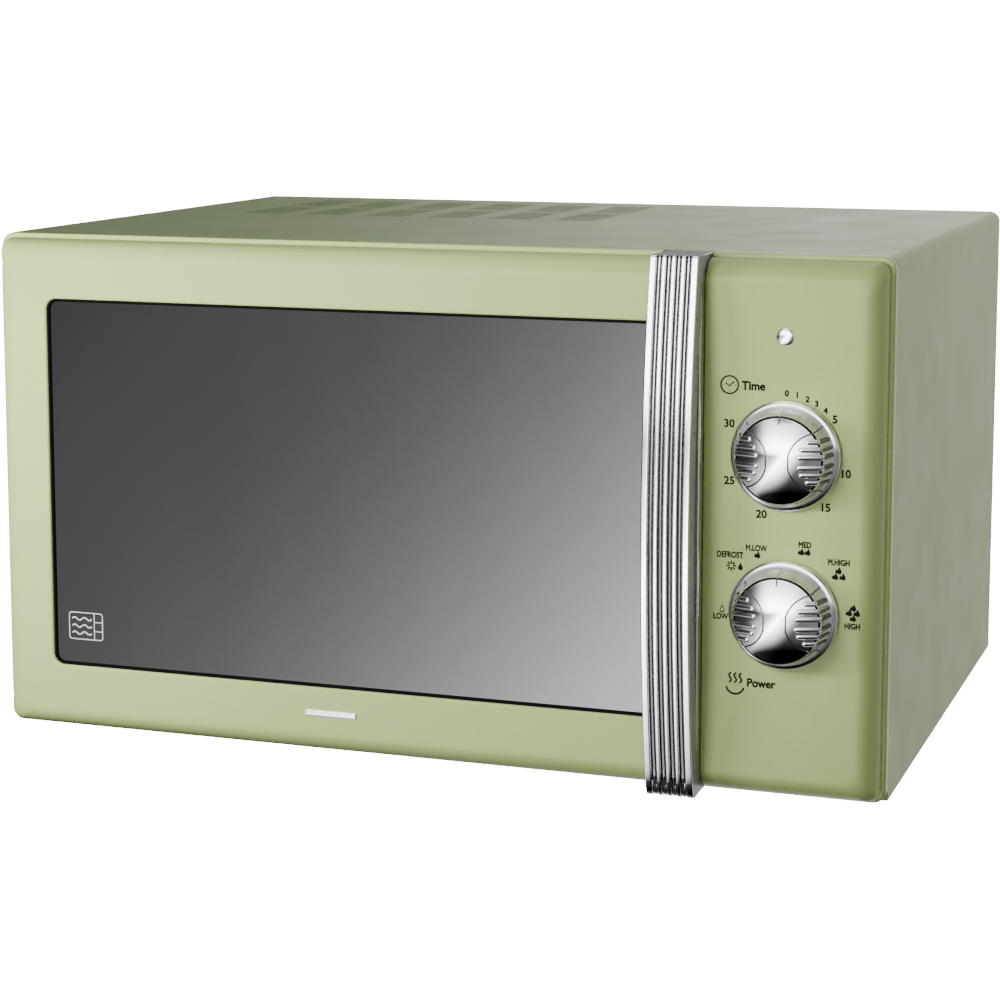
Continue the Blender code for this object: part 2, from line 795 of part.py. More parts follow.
def microswitches():
    left = HOOK_X + 13 * MM + TOUCH
    front = FACE + SHEET + 5 * MM
    heights = {
        "microswitch_primary": HOOK_HEIGHTS[0] - 8 * MM,
        "microswitch_monitor": HOOK_HEIGHTS[0] + 10 * MM,
        "microswitch_secondary": HOOK_HEIGHTS[1] - 8 * MM,
    }
    for name, height in heights.items():
        switch = box(name, (left, front, height), (left + 10 * MM, front + 28 * MM, height + 16 * MM),
                     "black_plastic")
        tabs = []
        for step in range(3):
            start = front + (4 + 9 * step) * MM
            tabs.append(((left + 4 * MM, start, height + 15 * MM),
                         (left + 6 * MM, start + 4 * MM, height + 17.5 * MM)))
        join_boxes(switch, tabs)


# ---------------------------------------------------------------- control panel and knobs

def control_panel():
    depth = MOULD_DEPTH + DOOR_GAP - TOUCH
    loops = pillow_loops(PANEL_LEFT, HALF_W, 0, 1, depth)
    hollow = []
    for inset, inner_depth in ((9.5 * MM, 3 * MM), (5.5 * MM, 7 * MM), (5.5 * MM, depth)):
        hollow.append(front_loop(PANEL_LEFT + 3 * MM, HALF_W - inset, BOTTOM + inset, TOP - inset,
                                 0.6 * MM, 4 * MM, FRONT + inner_depth))
    panel = smooth(loft("control_panel", hollow + loops, "green_plastic"), 30)
    holes = []
    for height in (TIMER_Z, POWER_Z):
        holes.append(((KNOB_X, FRONT - MM, height), "Y", 8 * MM, 5 * MM, 24))
    return cut_holes(panel, holes)


def knob_profile():
    """Outer side of a knob from the dome's middle to the back of its flange, then the bore."""
    points = [(0.0, KNOB_HEIGHT + KNOB_DOME)]
    dome_steps = 3
    for step in range(1, dome_steps + 1):
        share = step / dome_steps
        points.append((KNOB_FACE_R * share, KNOB_HEIGHT + KNOB_DOME * (1 - share ** 2)))
    points += [
        (KNOB_FACE_R + 0.9 * MM, KNOB_HEIGHT - 0.9 * MM),
        (KNOB_FACE_R + 2.6 * MM, 6.0 * MM),
        (KNOB_FACE_R + 3.6 * MM, 3.6 * MM),
        (KNOB_FACE_R + 4.2 * MM, 3.0 * MM),
        (KNOB_FLANGE_R - 0.7 * MM, 2.6 * MM),
        (KNOB_FLANGE_R, 1.9 * MM),
        (KNOB_FLANGE_R, 0.5 * MM),
        (KNOB_FLANGE_R - 0.5 * MM, 0.0),
        (22 * MM, 0.0),
        (21 * MM, 4 * MM),
        (6 * MM, 4 * MM),
        (6 * MM, 0.0),
        (SHAFT_R + 0.1 * MM, 0.0),
        (SHAFT_R + 0.1 * MM, 9 * MM),
        (0.0, 9 * MM),
    ]
    return points


def knob(name, height):
    """A chrome knob that faces the front, with an index rib and six ribs on each side."""
    back = FRONT - 0.6 * MM
    facing = Matrix.Rotation(math.radians(90), 4, "X")
    made = turned(name, knob_profile(), Matrix.Translation((KNOB_X, back, height)) @ facing,
                  "chrome", sides=24)
    face = back - KNOB_HEIGHT
    reach = KNOB_FACE_R + 1.4 * MM
    for number, (row, start) in enumerate(KNOB_RIB_STARTS.items()):
        end = math.sqrt(reach ** 2 - row ** 2)
        top = face - KNOB_DOME * (1 - (start ** 2 + row ** 2) / KNOB_FACE_R ** 2) - 0.3 * MM
        for side in (-1, 1):
            low_x, high_x = sorted((side * start, side * end))
            for offset in (-row, row):
                rib = box(f"{name}_rib_{number}_{side}_{offset:.4f}",
                          (KNOB_X + low_x, top, height + offset - KNOB_RIB_HALF),
                          (KNOB_X + high_x, back - 5 * MM, height + offset + KNOB_RIB_HALF),
                          None, group=CUTTERS)
                join(made, rib)
    index = box(name + "_index", (KNOB_X - 0.5 * MM, face - 0.6 * MM, height + KNOB_FACE_R - 4 * MM),
                (KNOB_X + 0.5 * MM, back - 6 * MM, height + KNOB_FACE_R + 2.2 * MM), None,
                group=CUTTERS)
    return join(made, index)


def knob_shaft(name, height):
    start = FACE + SHEET + 4 * MM
    end = FRONT - 0.6 * MM - 8.5 * MM
    return cylinder(name, (KNOB_X, end, height), "Y", start - end, SHAFT_R, "zinc", sides=24)


def timer_unit():
    front = FACE + SHEET + TOUCH
    half = 28 * MM
    unit = box("timer_unit", (KNOB_X - half, front, TIMER_Z - half),
               (KNOB_X + half, front + 34 * MM, TIMER_Z + half), "white_plastic", bevel=2 * MM)
    join_boxes(unit, [((KNOB_X - 34 * MM, front, TIMER_Z - 6 * MM),
                       (KNOB_X + 34 * MM, front + 2 * MM, TIMER_Z + 6 * MM))])
    cut_holes(unit, [((KNOB_X, front - MM, TIMER_Z), "Y", 7 * MM, SHAFT_R + 0.1 * MM, 24)])
    return unit


def timer_bell():
    back = FACE + SHEET + 34 * MM + 2 * TOUCH
    profile = [(0.0, 9 * MM), (10 * MM, 8.2 * MM), (17 * MM, 5.5 * MM), (20 * MM, 1.5 * MM),
               (20 * MM, 0.0), (18.8 * MM, 0.0), (18.8 * MM, 1.2 * MM), (16 * MM, 4.5 * MM),
               (9 * MM, 7.0 * MM), (3 * MM, 7.6 * MM), (3 * MM, 0.0), (0.0, 0.0)]
    return turned("timer_bell", profile, at(KNOB_X - 4 * MM, back, TIMER_Z, "Y"), "zinc", sides=16)


def power_switch():
    front = FACE + SHEET + TOUCH
    half = 24 * MM
    unit = box("power_switch", (KNOB_X - half, front, POWER_Z - half),
               (KNOB_X + half, front + 28 * MM, POWER_Z + half), "white_plastic", bevel=2 * MM)
    join_boxes(unit, [((KNOB_X - 8 * MM, front + 27 * MM, POWER_Z - 16 * MM),
                       (KNOB_X + 14 * MM, front + 36 * MM, POWER_Z + 12 * MM))])
    cut_holes(unit, [((KNOB_X, front - MM, POWER_Z), "Y", 7 * MM, SHAFT_R + 0.1 * MM, 24)])
    return unit


# ---------------------------------------------------------------- casing and body

def casing_path(inset, y):
    """The wrap's line from the left bottom edge, over the top, to the right bottom edge."""
    side = HALF_W - inset
    top = TOP - inset
    radius = max(CASING_CORNER - inset, 1.5 * MM)
    points = [(-side, BOTTOM)]
    points += arc(-side + radius, top - radius, radius, 180, 90, 4)
    points += arc(side - radius, top - radius, radius, 90, 0, 4)
    points.append((side, BOTTOM))
    return [(x, y, z) for x, z in points]


def outer_casing():
    bm = bmesh.new()
    rows = []
    for inset, y in ((HEM, FACE), (0, FACE), (0, REAR), (7 * MM, REAR)):
        rows.append([bm.verts.new(point) for point in casing_path(inset, y)])
    for near, far in zip(rows, rows[1:]):
        for i in range(len(near) - 1):
            bm.faces.new((near[i], near[i + 1], far[i + 1], far[i]))
    mesh = bpy.data.meshes.new("outer_casing")
    bm.to_mesh(mesh)
    bm.free()
    casing = adopt("outer_casing", mesh, "green_steel")
    thicken(casing, SHEET)
    slots = []
    for column in range(6):
        x = TOP_VENT_LEFT + column * TOP_VENT_PITCH
        for row_start in TOP_VENT_ROWS:
            for row in range(6):
                y = FRONT + row_start + row * 10.6 * MM
                slots.append(((x, y, TOP - 4 * MM), (x + TOP_VENT_LENGTH, y + 5 * MM, TOP + 4 * MM)))
    return smooth(cut_boxes(casing, slots), 30)


def rear_panel():
    back = PANEL_BACK
    edge = HALF_W - 1.6 * MM
    loops = []
    for depth in (back - SHEET, back):
        loops.append(front_loop(-edge, edge, BOTTOM + 1.6 * MM, TOP - 1.6 * MM, 6 * MM, 6 * MM,
                                depth, corner_steps=3))
    panel = loft("rear_panel", loops, "green_steel")
    slots = []
    for row in range(11):
        z = FAN_Z + (row - 5) * 8 * MM
        half = math.sqrt((44 * MM) ** 2 - (z - FAN_Z) ** 2)
        slots.append(((FAN_X - half, back - 4 * MM, z - 1.8 * MM),
                      (FAN_X + half, back + 4 * MM, z + 1.8 * MM)))
    for column in range(2):
        for row in range(8):
            x = (-150 + 60 * column) * MM
            z = (60 + 9 * row) * MM
            slots.append(((x, back - 4 * MM, z), (x + 44 * MM, back + 4 * MM, z + 3 * MM)))
    cut_boxes(panel, slots)
    return cut_holes(panel, [((GLAND_X, back - 4 * MM, GLAND_Z), "Y", 8 * MM, 7 * MM, 20)])


def cord_gland():
    """The bush in the rear panel that a mains lead would pass through."""
    profile = [(5.5 * MM, 7 * MM), (9.5 * MM, 4 * MM), (9.5 * MM, TOUCH), (6.6 * MM, TOUCH),
               (6.6 * MM, -5 * MM), (3.6 * MM, -5 * MM), (3.6 * MM, 7 * MM)]
    return turned("cord_gland", profile, at(GLAND_X, PANEL_BACK, GLAND_Z, "Y"), "black_plastic",
                  sides=20)


def rear_spacers():
    """Two stubs that keep the oven off the wall behind it."""
    length = REAR + SPACER_LENGTH - PANEL_BACK
    profile = [(0.0, length), (6 * MM, length), (7.5 * MM, length - 1.5 * MM), (10 * MM, TOUCH),
               (0.0, TOUCH)]
    for name, x in (("rear_spacer_left", -190 * MM), ("rear_spacer_right", 95 * MM)):
        turned(name, profile, at(x, PANEL_BACK, SPACER_Z, "Y"), "black_plastic", sides=20)


def base_plate():
    """A pan with turned-up edges that the feet and the heavy parts stand on."""
    left = -HALF_W + SHEET + 0.4 * MM
    front = FACE + SHEET + 1.2 * MM
    back = REAR - 2 * SHEET - 1.2 * MM
    bm = bmesh.new()
    add_box(bm, (left, front, BOTTOM), (-left, back, BOTTOM + 12 * MM))
    top = [face for face in bm.faces if face.normal.z > 0.5]
    bmesh.ops.delete(bm, geom=top, context="FACES_ONLY")
    plate = from_bmesh("base_plate", bm, "zinc")
    thicken(plate, SHEET)
    cuts = []
    for column in range(3):
        for row in range(6):
            x = (-150 + 60 * column) * MM
            y = (-110 + 9 * row) * MM
            cuts.append(((x, y, BOTTOM - 4 * MM), (x + 40 * MM, y + 3 * MM, BOTTOM + 4 * MM)))
    cut_boxes(plate, cuts)
    holes = [((CAVITY_X, CAVITY_Y, BOTTOM - 4 * MM), "Z", 8 * MM, 27 * MM, 24)]
    return cut_holes(plate, holes)


def motor_cover():
    """The round hatch under the turntable motor."""
    profile = [(0.0, 1.6 * MM), (26 * MM, 1.6 * MM), (26.4 * MM, 1.2 * MM), (26.4 * MM, 0.4 * MM),
               (0.0, 0.4 * MM)]
    return turned("motor_cover", profile, at(CAVITY_X, CAVITY_Y, BOTTOM - 0.3 * MM), "zinc",
                  sides=24)


def feet():
    top = FOOT_HEIGHT - TOUCH
    profile = [(0.0, top), (13 * MM, top), (11.5 * MM, 1 * MM), (10.5 * MM, 0.0), (0.0, 0.0)]
    places = {
        "foot_front_left": (-FOOT_X, FOOT_FRONT_Y),
        "foot_front_right": (FOOT_X, FOOT_FRONT_Y),
        "foot_rear_left": (-FOOT_X, FOOT_REAR_Y),
        "foot_rear_right": (FOOT_X, FOOT_REAR_Y),
    }
    for name, (x, y) in places.items():
        turned(name, profile, at(x, y, 0), "rubber", sides=24)


def cavity():
    bm = bmesh.new()
    add_box(bm, (CAVITY_LEFT, CAVITY_FRONT, CAVITY_FLOOR),
            (CAVITY_RIGHT, CAVITY_FRONT + CAVITY_DEPTH, CAVITY_TOP))
    bmesh.ops.recalc_face_normals(bm, faces=bm.faces)
    front = [face for face in bm.faces if face.normal.y < -0.5]
    bmesh.ops.delete(bm, geom=front, context="FACES_ONLY")
    inner = [edge for edge in bm.edges if len(edge.link_faces) == 2]
    bmesh.ops.bevel(bm, geom=inner, offset=8 * MM, segments=3, profile=0.5, affect="EDGES")
    shell = from_bmesh("cavity", bm, "cavity_enamel")
    thicken(shell, CAVITY_WALL, offset=1.0)
    wall = CAVITY_RIGHT - 4 * MM
    cut_boxes(shell, [((wall, WAVE_Y - 40 * MM, WAVE_Z - 20 * MM),
                       (wall + 8 * MM, WAVE_Y + 40 * MM, WAVE_Z + 20 * MM))])
    holes = [((CAVITY_X, CAVITY_Y, CAVITY_FLOOR - 4 * MM), "Z", 8 * MM, 11.5 * MM, 24)]
    for column in range(4):
        for row in range(4):
            place = (wall, LAMP_Y + (column - 1.5) * 7 * MM, LAMP_Z + (row - 1.5) * 7 * MM)
            holes.append((place, "X", 8 * MM, 2 * MM, 6))
    for column in range(6):
        for row in range(2):
            place = (CAVITY_LEFT - 4 * MM, 60 * MM + column * 8 * MM, 215 * MM + row * 8 * MM)
            holes.append((place, "X", 8 * MM, 2.2 * MM, 6))
    cut_holes(shell, holes)
    return smooth(shell, 30)


def front_frame():
    """The steel face plate around the cavity's mouth, behind the door and the panel."""
    plate = box("front_frame", (-HALF_W + HEM + 0.5 * MM, FACE, BOTTOM + MM),
                (HALF_W - HEM - 0.5 * MM, FACE + SHEET, TOP - HEM - 0.5 * MM), "green_steel")
    low_y = FACE - 4 * MM
    high_y = FACE + 5 * MM
    mouth = loft("front_frame_mouth", [
        front_loop(CAVITY_LEFT, CAVITY_RIGHT, CAVITY_FLOOR, CAVITY_TOP, 8 * MM, 8 * MM, low_y),
        front_loop(CAVITY_LEFT, CAVITY_RIGHT, CAVITY_FLOOR, CAVITY_TOP, 8 * MM, 8 * MM, high_y),
    ], None, group=CUTTERS)
    cut(plate, mouth)
    slots = []
    for height in HOOK_HEIGHTS:
        slots.append(((HOOK_X - 3 * MM, low_y, height - 6 * MM),
                      (HOOK_X + 3.6 * MM, high_y, height + 5.5 * MM + LATCH_TRAVEL)))
    for height in HINGE_HEIGHTS:
        slots.append(((HINGE_X - LUG_HALF_WIDTH + 1.1 * MM, low_y, height - 1.4 * MM),
                      (HINGE_X + LUG_HALF_WIDTH + 0.4 * MM, high_y, height + 1.4 * MM)))
    cut_boxes(plate, slots)
    holes = []
    for height in (TIMER_Z, POWER_Z):
        holes.append(((KNOB_X, low_y, height), "Y", high_y - low_y, 6 * MM, 24))
    return cut_holes(plate, holes)


def hinge_brackets():
    """Steel lugs with a pin; each reaches forward through the face plate into the door."""
    back = FACE + SHEET + TOUCH
    narrow_left = HINGE_X - LUG_HALF_WIDTH + 1.5 * MM
    right = HINGE_X + LUG_HALF_WIDTH
    for name, height in zip(("hinge_bracket_lower", "hinge_bracket_upper"), HINGE_HEIGHTS):
        outline = arc(HINGE_X, HINGE_Y, LUG_HALF_WIDTH, 180, 360, 12)
        outline += [(right, back + 1.5 * MM), (narrow_left, back + 1.5 * MM)]
        outline += [(narrow_left, FRONT + MOULD_DEPTH - MM),
                    (HINGE_X - LUG_HALF_WIDTH, FRONT + MOULD_DEPTH - 2 * MM)]
        bracket = flat_shape(name, [outline], 2 * MM, Matrix.Translation((0, 0, height)), "zinc")
        inward = 1 if height < MID_Z else -1
        ends = sorted((height - 3 * MM * inward, height + 24 * MM * inward))
        join_boxes(bracket, [((narrow_left, back, ends[0]),
                              (right + 8 * MM, back + 1.5 * MM, ends[1]))])
        join_cylinders(bracket, [((HINGE_X, HINGE_Y, height - 5 * MM), "Z", 10 * MM, HINGE_PIN_R, 24)])


# ---------------------------------------------------------------- microwave system

def waveguide():
    high_x = WAVE_LEFT + WAVE_DEPTH
    duct = box("waveguide", (WAVE_LEFT, WAVE_Y - 50 * MM, WAVE_Z - 50 * MM),
               (high_x, WAVE_Y + 50 * MM, WAVE_Z + 60 * MM), "zinc")
    cut_boxes(duct, [((WAVE_LEFT - MM, WAVE_Y - 48.8 * MM, WAVE_Z - 48.8 * MM),
                      (high_x - 1.2 * MM, WAVE_Y + 48.8 * MM, WAVE_Z + 58.8 * MM))])
    return cut_holes(duct, [((high_x - 4 * MM, WAVE_Y, MAGNETRON_Z), "X", 8 * MM, 15 * MM, 24)])


def waveguide_cover():
    right = CAVITY_RIGHT - TOUCH
    return box("waveguide_cover", (right - 0.7 * MM, WAVE_Y - 52 * MM, WAVE_Z - 28 * MM),
               (right, WAVE_Y + 52 * MM, WAVE_Z + 28 * MM), "mica")


def magnetron():
    """The valve's flange, its yoke with cooling fins, its filter box and its antenna."""
    start = WAVE_LEFT + WAVE_DEPTH + TOUCH
    y, z = WAVE_Y, MAGNETRON_Z
    body = box("magnetron", (start, y - 42 * MM, z - 34 * MM),
               (start + 1.6 * MM, y + 42 * MM, z + 34 * MM), "aluminium")
    join_boxes(body, [
        ((start + MM, y - 36 * MM, z - 30 * MM), (start + 60 * MM, y + 36 * MM, z + 30 * MM)),
        ((start + 59 * MM, y - 24 * MM, z - 20 * MM), (start + 80 * MM, y + 24 * MM, z + 20 * MM)),
    ])
    join_cylinders(body, [((start - 20 * MM, y, z), "X", 22 * MM, 9 * MM, 20)])
    gaps = []
    for fin in range(7):
        x = start + (9 + 7 * fin) * MM
        for low_y, high_y in ((y - 38 * MM, y - 14 * MM), (y + 14 * MM, y + 38 * MM)):
            gaps.append(((x, low_y, z - 26 * MM), (x + 4 * MM, high_y, z + 26 * MM)))
    return cut_boxes(body, gaps)


def thermal_cutout():
    low = MAGNETRON_Z + 34 * MM
    x = WAVE_LEFT + WAVE_DEPTH + 30 * MM
    body = cylinder("thermal_cutout", (x, WAVE_Y, low - 3.7 * MM), "Z", 8 * MM, 8 * MM,
                    "white_plastic", sides=20)
    tabs = []
    for y in (WAVE_Y - 6 * MM, WAVE_Y + 2 * MM):
        tabs.append(((x - MM, y, low + 4 * MM), (x + MM, y + 4 * MM, low + 10 * MM)))
    return join_boxes(body, tabs)


def transformer():
    x, y, low = TRANSFORMER_X, TRANSFORMER_Y, PLATE_TOP
    core = box("hv_transformer", (x - 46 * MM, y - 26 * MM, low + 3 * MM),
               (x + 46 * MM, y + 26 * MM, low + 78 * MM), "iron")
    join_boxes(core, [((x - 50 * MM, y - 30 * MM, low), (x + 50 * MM, y + 30 * MM, low + 4 * MM))])
    windings = []
    for low_y, high_y in ((y - 42 * MM, y - 25 * MM), (y + 25 * MM, y + 42 * MM)):
        for low_z, high_z in ((low + 12 * MM, low + 36 * MM), (low + 42 * MM, low + 72 * MM)):
            windings.append(((x - 30 * MM, low_y, low_z), (x + 30 * MM, high_y, high_z)))
    for number, (start, end) in enumerate(windings):
        join(core, box(f"winding_{number}", start, end, None, group=CUTTERS))
    return core


def capacitor_facing():
    """Places a flat outline of (x, z) across the capacitor's length."""
    return Matrix.Translation((0, CAPACITOR_Y, 0)) @ Matrix.Rotation(math.radians(90), 4, "X")


def capacitor_side(left_side, radius, start, end, steps):
    """An arc about the middle of one of the can's two round sides."""
    x = CAPACITOR_LEFT + CAPACITOR_HALF if left_side else CAPACITOR_RIGHT - CAPACITOR_HALF
    return arc(x, PLATE_TOP + CAPACITOR_HALF, radius, start, end, steps)


def capacitor():
    outline = capacitor_side(True, CAPACITOR_HALF, 90, 270, 8)
    outline += capacitor_side(False, CAPACITOR_HALF, -90, 90, 8)
    can = flat_shape("hv_capacitor", [outline], CAPACITOR_LENGTH, capacitor_facing(), "aluminium")
    end = CAPACITOR_Y + CAPACITOR_LENGTH / 2
    middle = PLATE_TOP + CAPACITOR_HALF
    tabs = []
    for x in (CAPACITOR_LEFT + 18 * MM, CAPACITOR_LEFT + 33 * MM):
        tabs.append(((x - 3 * MM, end - MM, middle - MM), (x + 3 * MM, end + 8 * MM, middle + MM)))
    return join_boxes(can, tabs)


def capacitor_clamp():
    """A strap over the can with a flange on each side."""
    left, right = CAPACITOR_LEFT, CAPACITOR_RIGHT
    thick = 1.2 * MM
    low = PLATE_TOP + 0.1 * MM
    reach = 14 * MM

    def saddle(radius):
        return (capacitor_side(True, radius, 180, 90, 6) + capacitor_side(False, radius, 90, 0, 6))

    outline = [(left - reach, low), (left - reach, low + thick), (left - 1.5 * MM, low + thick)]
    outline += saddle(CAPACITOR_HALF + 1.5 * MM)
    outline += [(right + 1.5 * MM, low + thick), (right + reach, low + thick), (right + reach, low)]
    outline += [(right + TOUCH, low)]
    outline += list(reversed(saddle(CAPACITOR_HALF + TOUCH)))
    outline += [(left - TOUCH, low)]
    return flat_shape("capacitor_clamp", [outline], 16 * MM, capacitor_facing(), "zinc")


def diode():
    x = 215 * MM
    y = 100 * MM
    z = BOTTOM + 12 * MM
    body = cylinder("hv_diode", (x, y, z), "Y", 20 * MM, 3.6 * MM, "black_plastic", sides=16)
    return join_cylinders(body, [((x, y - 14 * MM, z), "Y", 48 * MM, 0.7 * MM, 8)])


# ---------------------------------------------------------------- fan, lamp, filter

def fan_shroud():
    front = FAN_Y - 10 * MM
    back = REAR - 2 * SHEET - 3 * TOUCH
    half = 54 * MM
    shroud = box("fan_shroud", (FAN_X - half, front, FAN_Z - half), (FAN_X + half, back, FAN_Z + half),
                 "black_plastic", bevel=3 * MM)
    mouth = ((FAN_X, front - 5 * MM, FAN_Z), "Y", back - front + 10 * MM, FAN_R + 3 * MM, 36)
    return cut_holes(shroud, [mouth])


def fan_motor():
    back = FAN_Y - 10 * MM - TOUCH
    body = box("fan_motor", (FAN_X - 26 * MM, back - 20 * MM, FAN_Z - 20 * MM),
               (FAN_X + 26 * MM, back - 4 * MM, FAN_Z + 34 * MM), "iron")
    arms = ((FAN_X - 50 * MM, back - 4.5 * MM, FAN_Z - 6 * MM), (FAN_X + 50 * MM, back, FAN_Z + 6 * MM))
    winding = ((FAN_X - 16 * MM, back - 26 * MM, FAN_Z + 14 * MM),
               (FAN_X + 16 * MM, back - MM, FAN_Z + 30 * MM))
    join_boxes(body, [arms, winding])
    return join_cylinders(body, [((FAN_X, back - 24 * MM, FAN_Z), "Y", 37 * MM, 1.6 * MM, 16)])


def fan_blade():
    """Five pitched blades on a hub that turns on the motor's shaft."""
    hub_half = 8 * MM
    bore = 1.7 * MM
    profile = [(bore, hub_half), (9 * MM, hub_half), (11 * MM, hub_half - 2 * MM),
               (11 * MM, -hub_half), (bore, -hub_half)]
    hub = turned("fan_blade", profile, at(FAN_X, FAN_Y + 3 * MM, FAN_Z, "Y"), "white_plastic",
                 sides=20)
    centre = Matrix.Translation((FAN_X, FAN_Y + 3 * MM, FAN_Z))
    for number in range(5):
        blade = box(f"fan_vane_{number}", (9.5 * MM, -0.7 * MM, -12 * MM), (FAN_R, 0.7 * MM, 12 * MM),
                    None, group=CUTTERS)
        pitch = Matrix.Rotation(math.radians(32), 4, "X")
        turn = Matrix.Rotation(math.radians(72 * number), 4, "Y")
        blade.matrix_world = centre @ turn @ pitch
        join(hub, blade)
    return hub


def noise_filter():
    low = TOP - 24 * MM
    board = box("noise_filter", (138 * MM, 92 * MM, low), (224 * MM, 138 * MM, low + 1.6 * MM), "board")
    join_boxes(board, [((146 * MM, 98 * MM, low + MM), (166 * MM, 118 * MM, low + 13 * MM)),
                       ((176 * MM, 100 * MM, low + MM), (196 * MM, 110 * MM, low + 11 * MM)),
                       ((176 * MM, 120 * MM, low + MM), (206 * MM, 128 * MM, low + 8 * MM))])
    return board


def lamp_holder():
    left = WAVE_LEFT + 20 * MM
    y, z = LAMP_Y, LAMP_Z
    holder = box("lamp_holder", (left, y - 14 * MM, z - 14 * MM), (left + 14 * MM, y + 14 * MM, z + 14 * MM),
                 "white_plastic", bevel=1.5 * MM)
    tabs = []
    for tab_y in (y - 4 * MM, y + 3 * MM):
        tabs.append(((left + 12 * MM, tab_y, z - 8 * MM), (left + 22 * MM, tab_y + MM, z - 2 * MM)))
    foot = ((WAVE_LEFT, y + 13 * MM, z - 12 * MM), (left + 2 * MM, y + 15 * MM, z + 12 * MM))
    return join_boxes(holder, [*tabs, foot])


def oven_lamp():
    length = 17 * MM
    profile = [(0.0, length), (4 * MM, length - 0.8 * MM), (7.4 * MM, length - 4 * MM),
               (8 * MM, length - 8 * MM), (6 * MM, 3 * MM), (5.5 * MM, 0.0), (0.0, 0.0)]
    facing = Matrix.Rotation(math.radians(-90), 4, "Y")
    place = Matrix.Translation((WAVE_LEFT + 19.6 * MM, LAMP_Y, LAMP_Z)) @ facing
    return turned("oven_lamp", profile, place, "glass_clear", sides=16)


# ---------------------------------------------------------------- turntable

def turntable_motor():
    low = BOTTOM + 2.6 * MM
    body = cylinder("turntable_motor", (CAVITY_X, CAVITY_Y, low), "Z", 14 * MM, 24 * MM, "zinc", sides=28)
    join_cylinders(body, [((CAVITY_X, CAVITY_Y, low + 13 * MM), "Z", 10 * MM, 2.8 * MM, 16)])
    return join_boxes(body, [((CAVITY_X - 32 * MM, CAVITY_Y - 5 * MM, low + 12.6 * MM),
                              (CAVITY_X + 32 * MM, CAVITY_Y + 5 * MM, low + 13.8 * MM))])


def turntable_coupler():
    low = CAVITY_FLOOR - 3 * MM
    high = TRAY_UNDER - TOUCH
    socket = 3 * MM
    profile = [(0.0, high), (9 * MM, high), (9 * MM, low), (socket, low), (socket, high - 2 * MM),
               (0.0, high - 2 * MM)]
    hub = turned("turntable_coupler", profile, at(CAVITY_X, CAVITY_Y, 0), "white_plastic", sides=24)
    for number in range(3):
        arm = box(f"coupler_arm_{number}", (5 * MM, -3.5 * MM, high - 6.4 * MM),
                  (21 * MM, 3.5 * MM, high - 0.4 * MM), None, group=CUTTERS)
        turn = Matrix.Rotation(math.radians(120 * number), 4, "Z")
        arm.matrix_world = Matrix.Translation((CAVITY_X, CAVITY_Y, 0)) @ turn
        join(hub, arm)
    return hub


def glass_tray():
    low = TRAY_UNDER
    thick = 5 * MM
    rim = 13 * MM
    profile = [
        (0.0, low + thick),
        (0.82 * TRAY_RADIUS, low + thick),
        (0.9 * TRAY_RADIUS, low + thick + 1.5 * MM),
        (0.965 * TRAY_RADIUS, low + rim - 2 * MM),
        (0.985 * TRAY_RADIUS, low + rim),
        (TRAY_RADIUS, low + rim - 0.6 * MM),
        (TRAY_RADIUS, low + rim - 3 * MM),
        (0.93 * TRAY_RADIUS, low + 2 * MM),
        (0.88 * TRAY_RADIUS, low),
        (0.0, low),
    ]
    return turned("glass_tray", profile, at(CAVITY_X, CAVITY_Y, 0), "glass_clear", sides=40)


def roller_ring():
    inner = 76 * MM
    outer = 84 * MM
    low = ROLLER_Z - 3 * MM
    high = ROLLER_Z + 3 * MM
    profile = [(inner, high), (outer, high), (outer, low), (inner, low)]
    ring = turned("roller_ring", profile, at(CAVITY_X, CAVITY_Y, 0), "white_plastic", sides=28)
    for number in range(3):
        axle = cylinder(f"ring_axle_{number}", (80 * MM, 0, ROLLER_Z), "X", 22.5 * MM, 2 * MM, None,
                        sides=16, group=CUTTERS)
        axle.matrix_world = roller_place(number)
        join(ring, axle)
    return ring


def roller_place(number):
    """A frame about the turntable's axis whose X runs out along one roller's axle."""
    turn = Matrix.Rotation(math.radians(90 + 120 * number), 4, "Z")
    return Matrix.Translation((CAVITY_X, CAVITY_Y, 0)) @ turn


def rollers():
    half = 3 * MM
    profile = [(2.1 * MM, half), (ROLLER_RADIUS - 0.6 * MM, half), (ROLLER_RADIUS, half - 0.6 * MM),
               (ROLLER_RADIUS, -half + 0.6 * MM), (ROLLER_RADIUS - 0.6 * MM, -half), (2.1 * MM, -half)]
    wheels = []
    for number in range(3):
        place = roller_place(number) @ at(ROLLER_TRACK, 0, ROLLER_Z, "X")
        wheels.append(turned(f"roller_{number + 1}", profile, place, "white_plastic", sides=18))
    return wheels


# ---------------------------------------------------------------- assembly

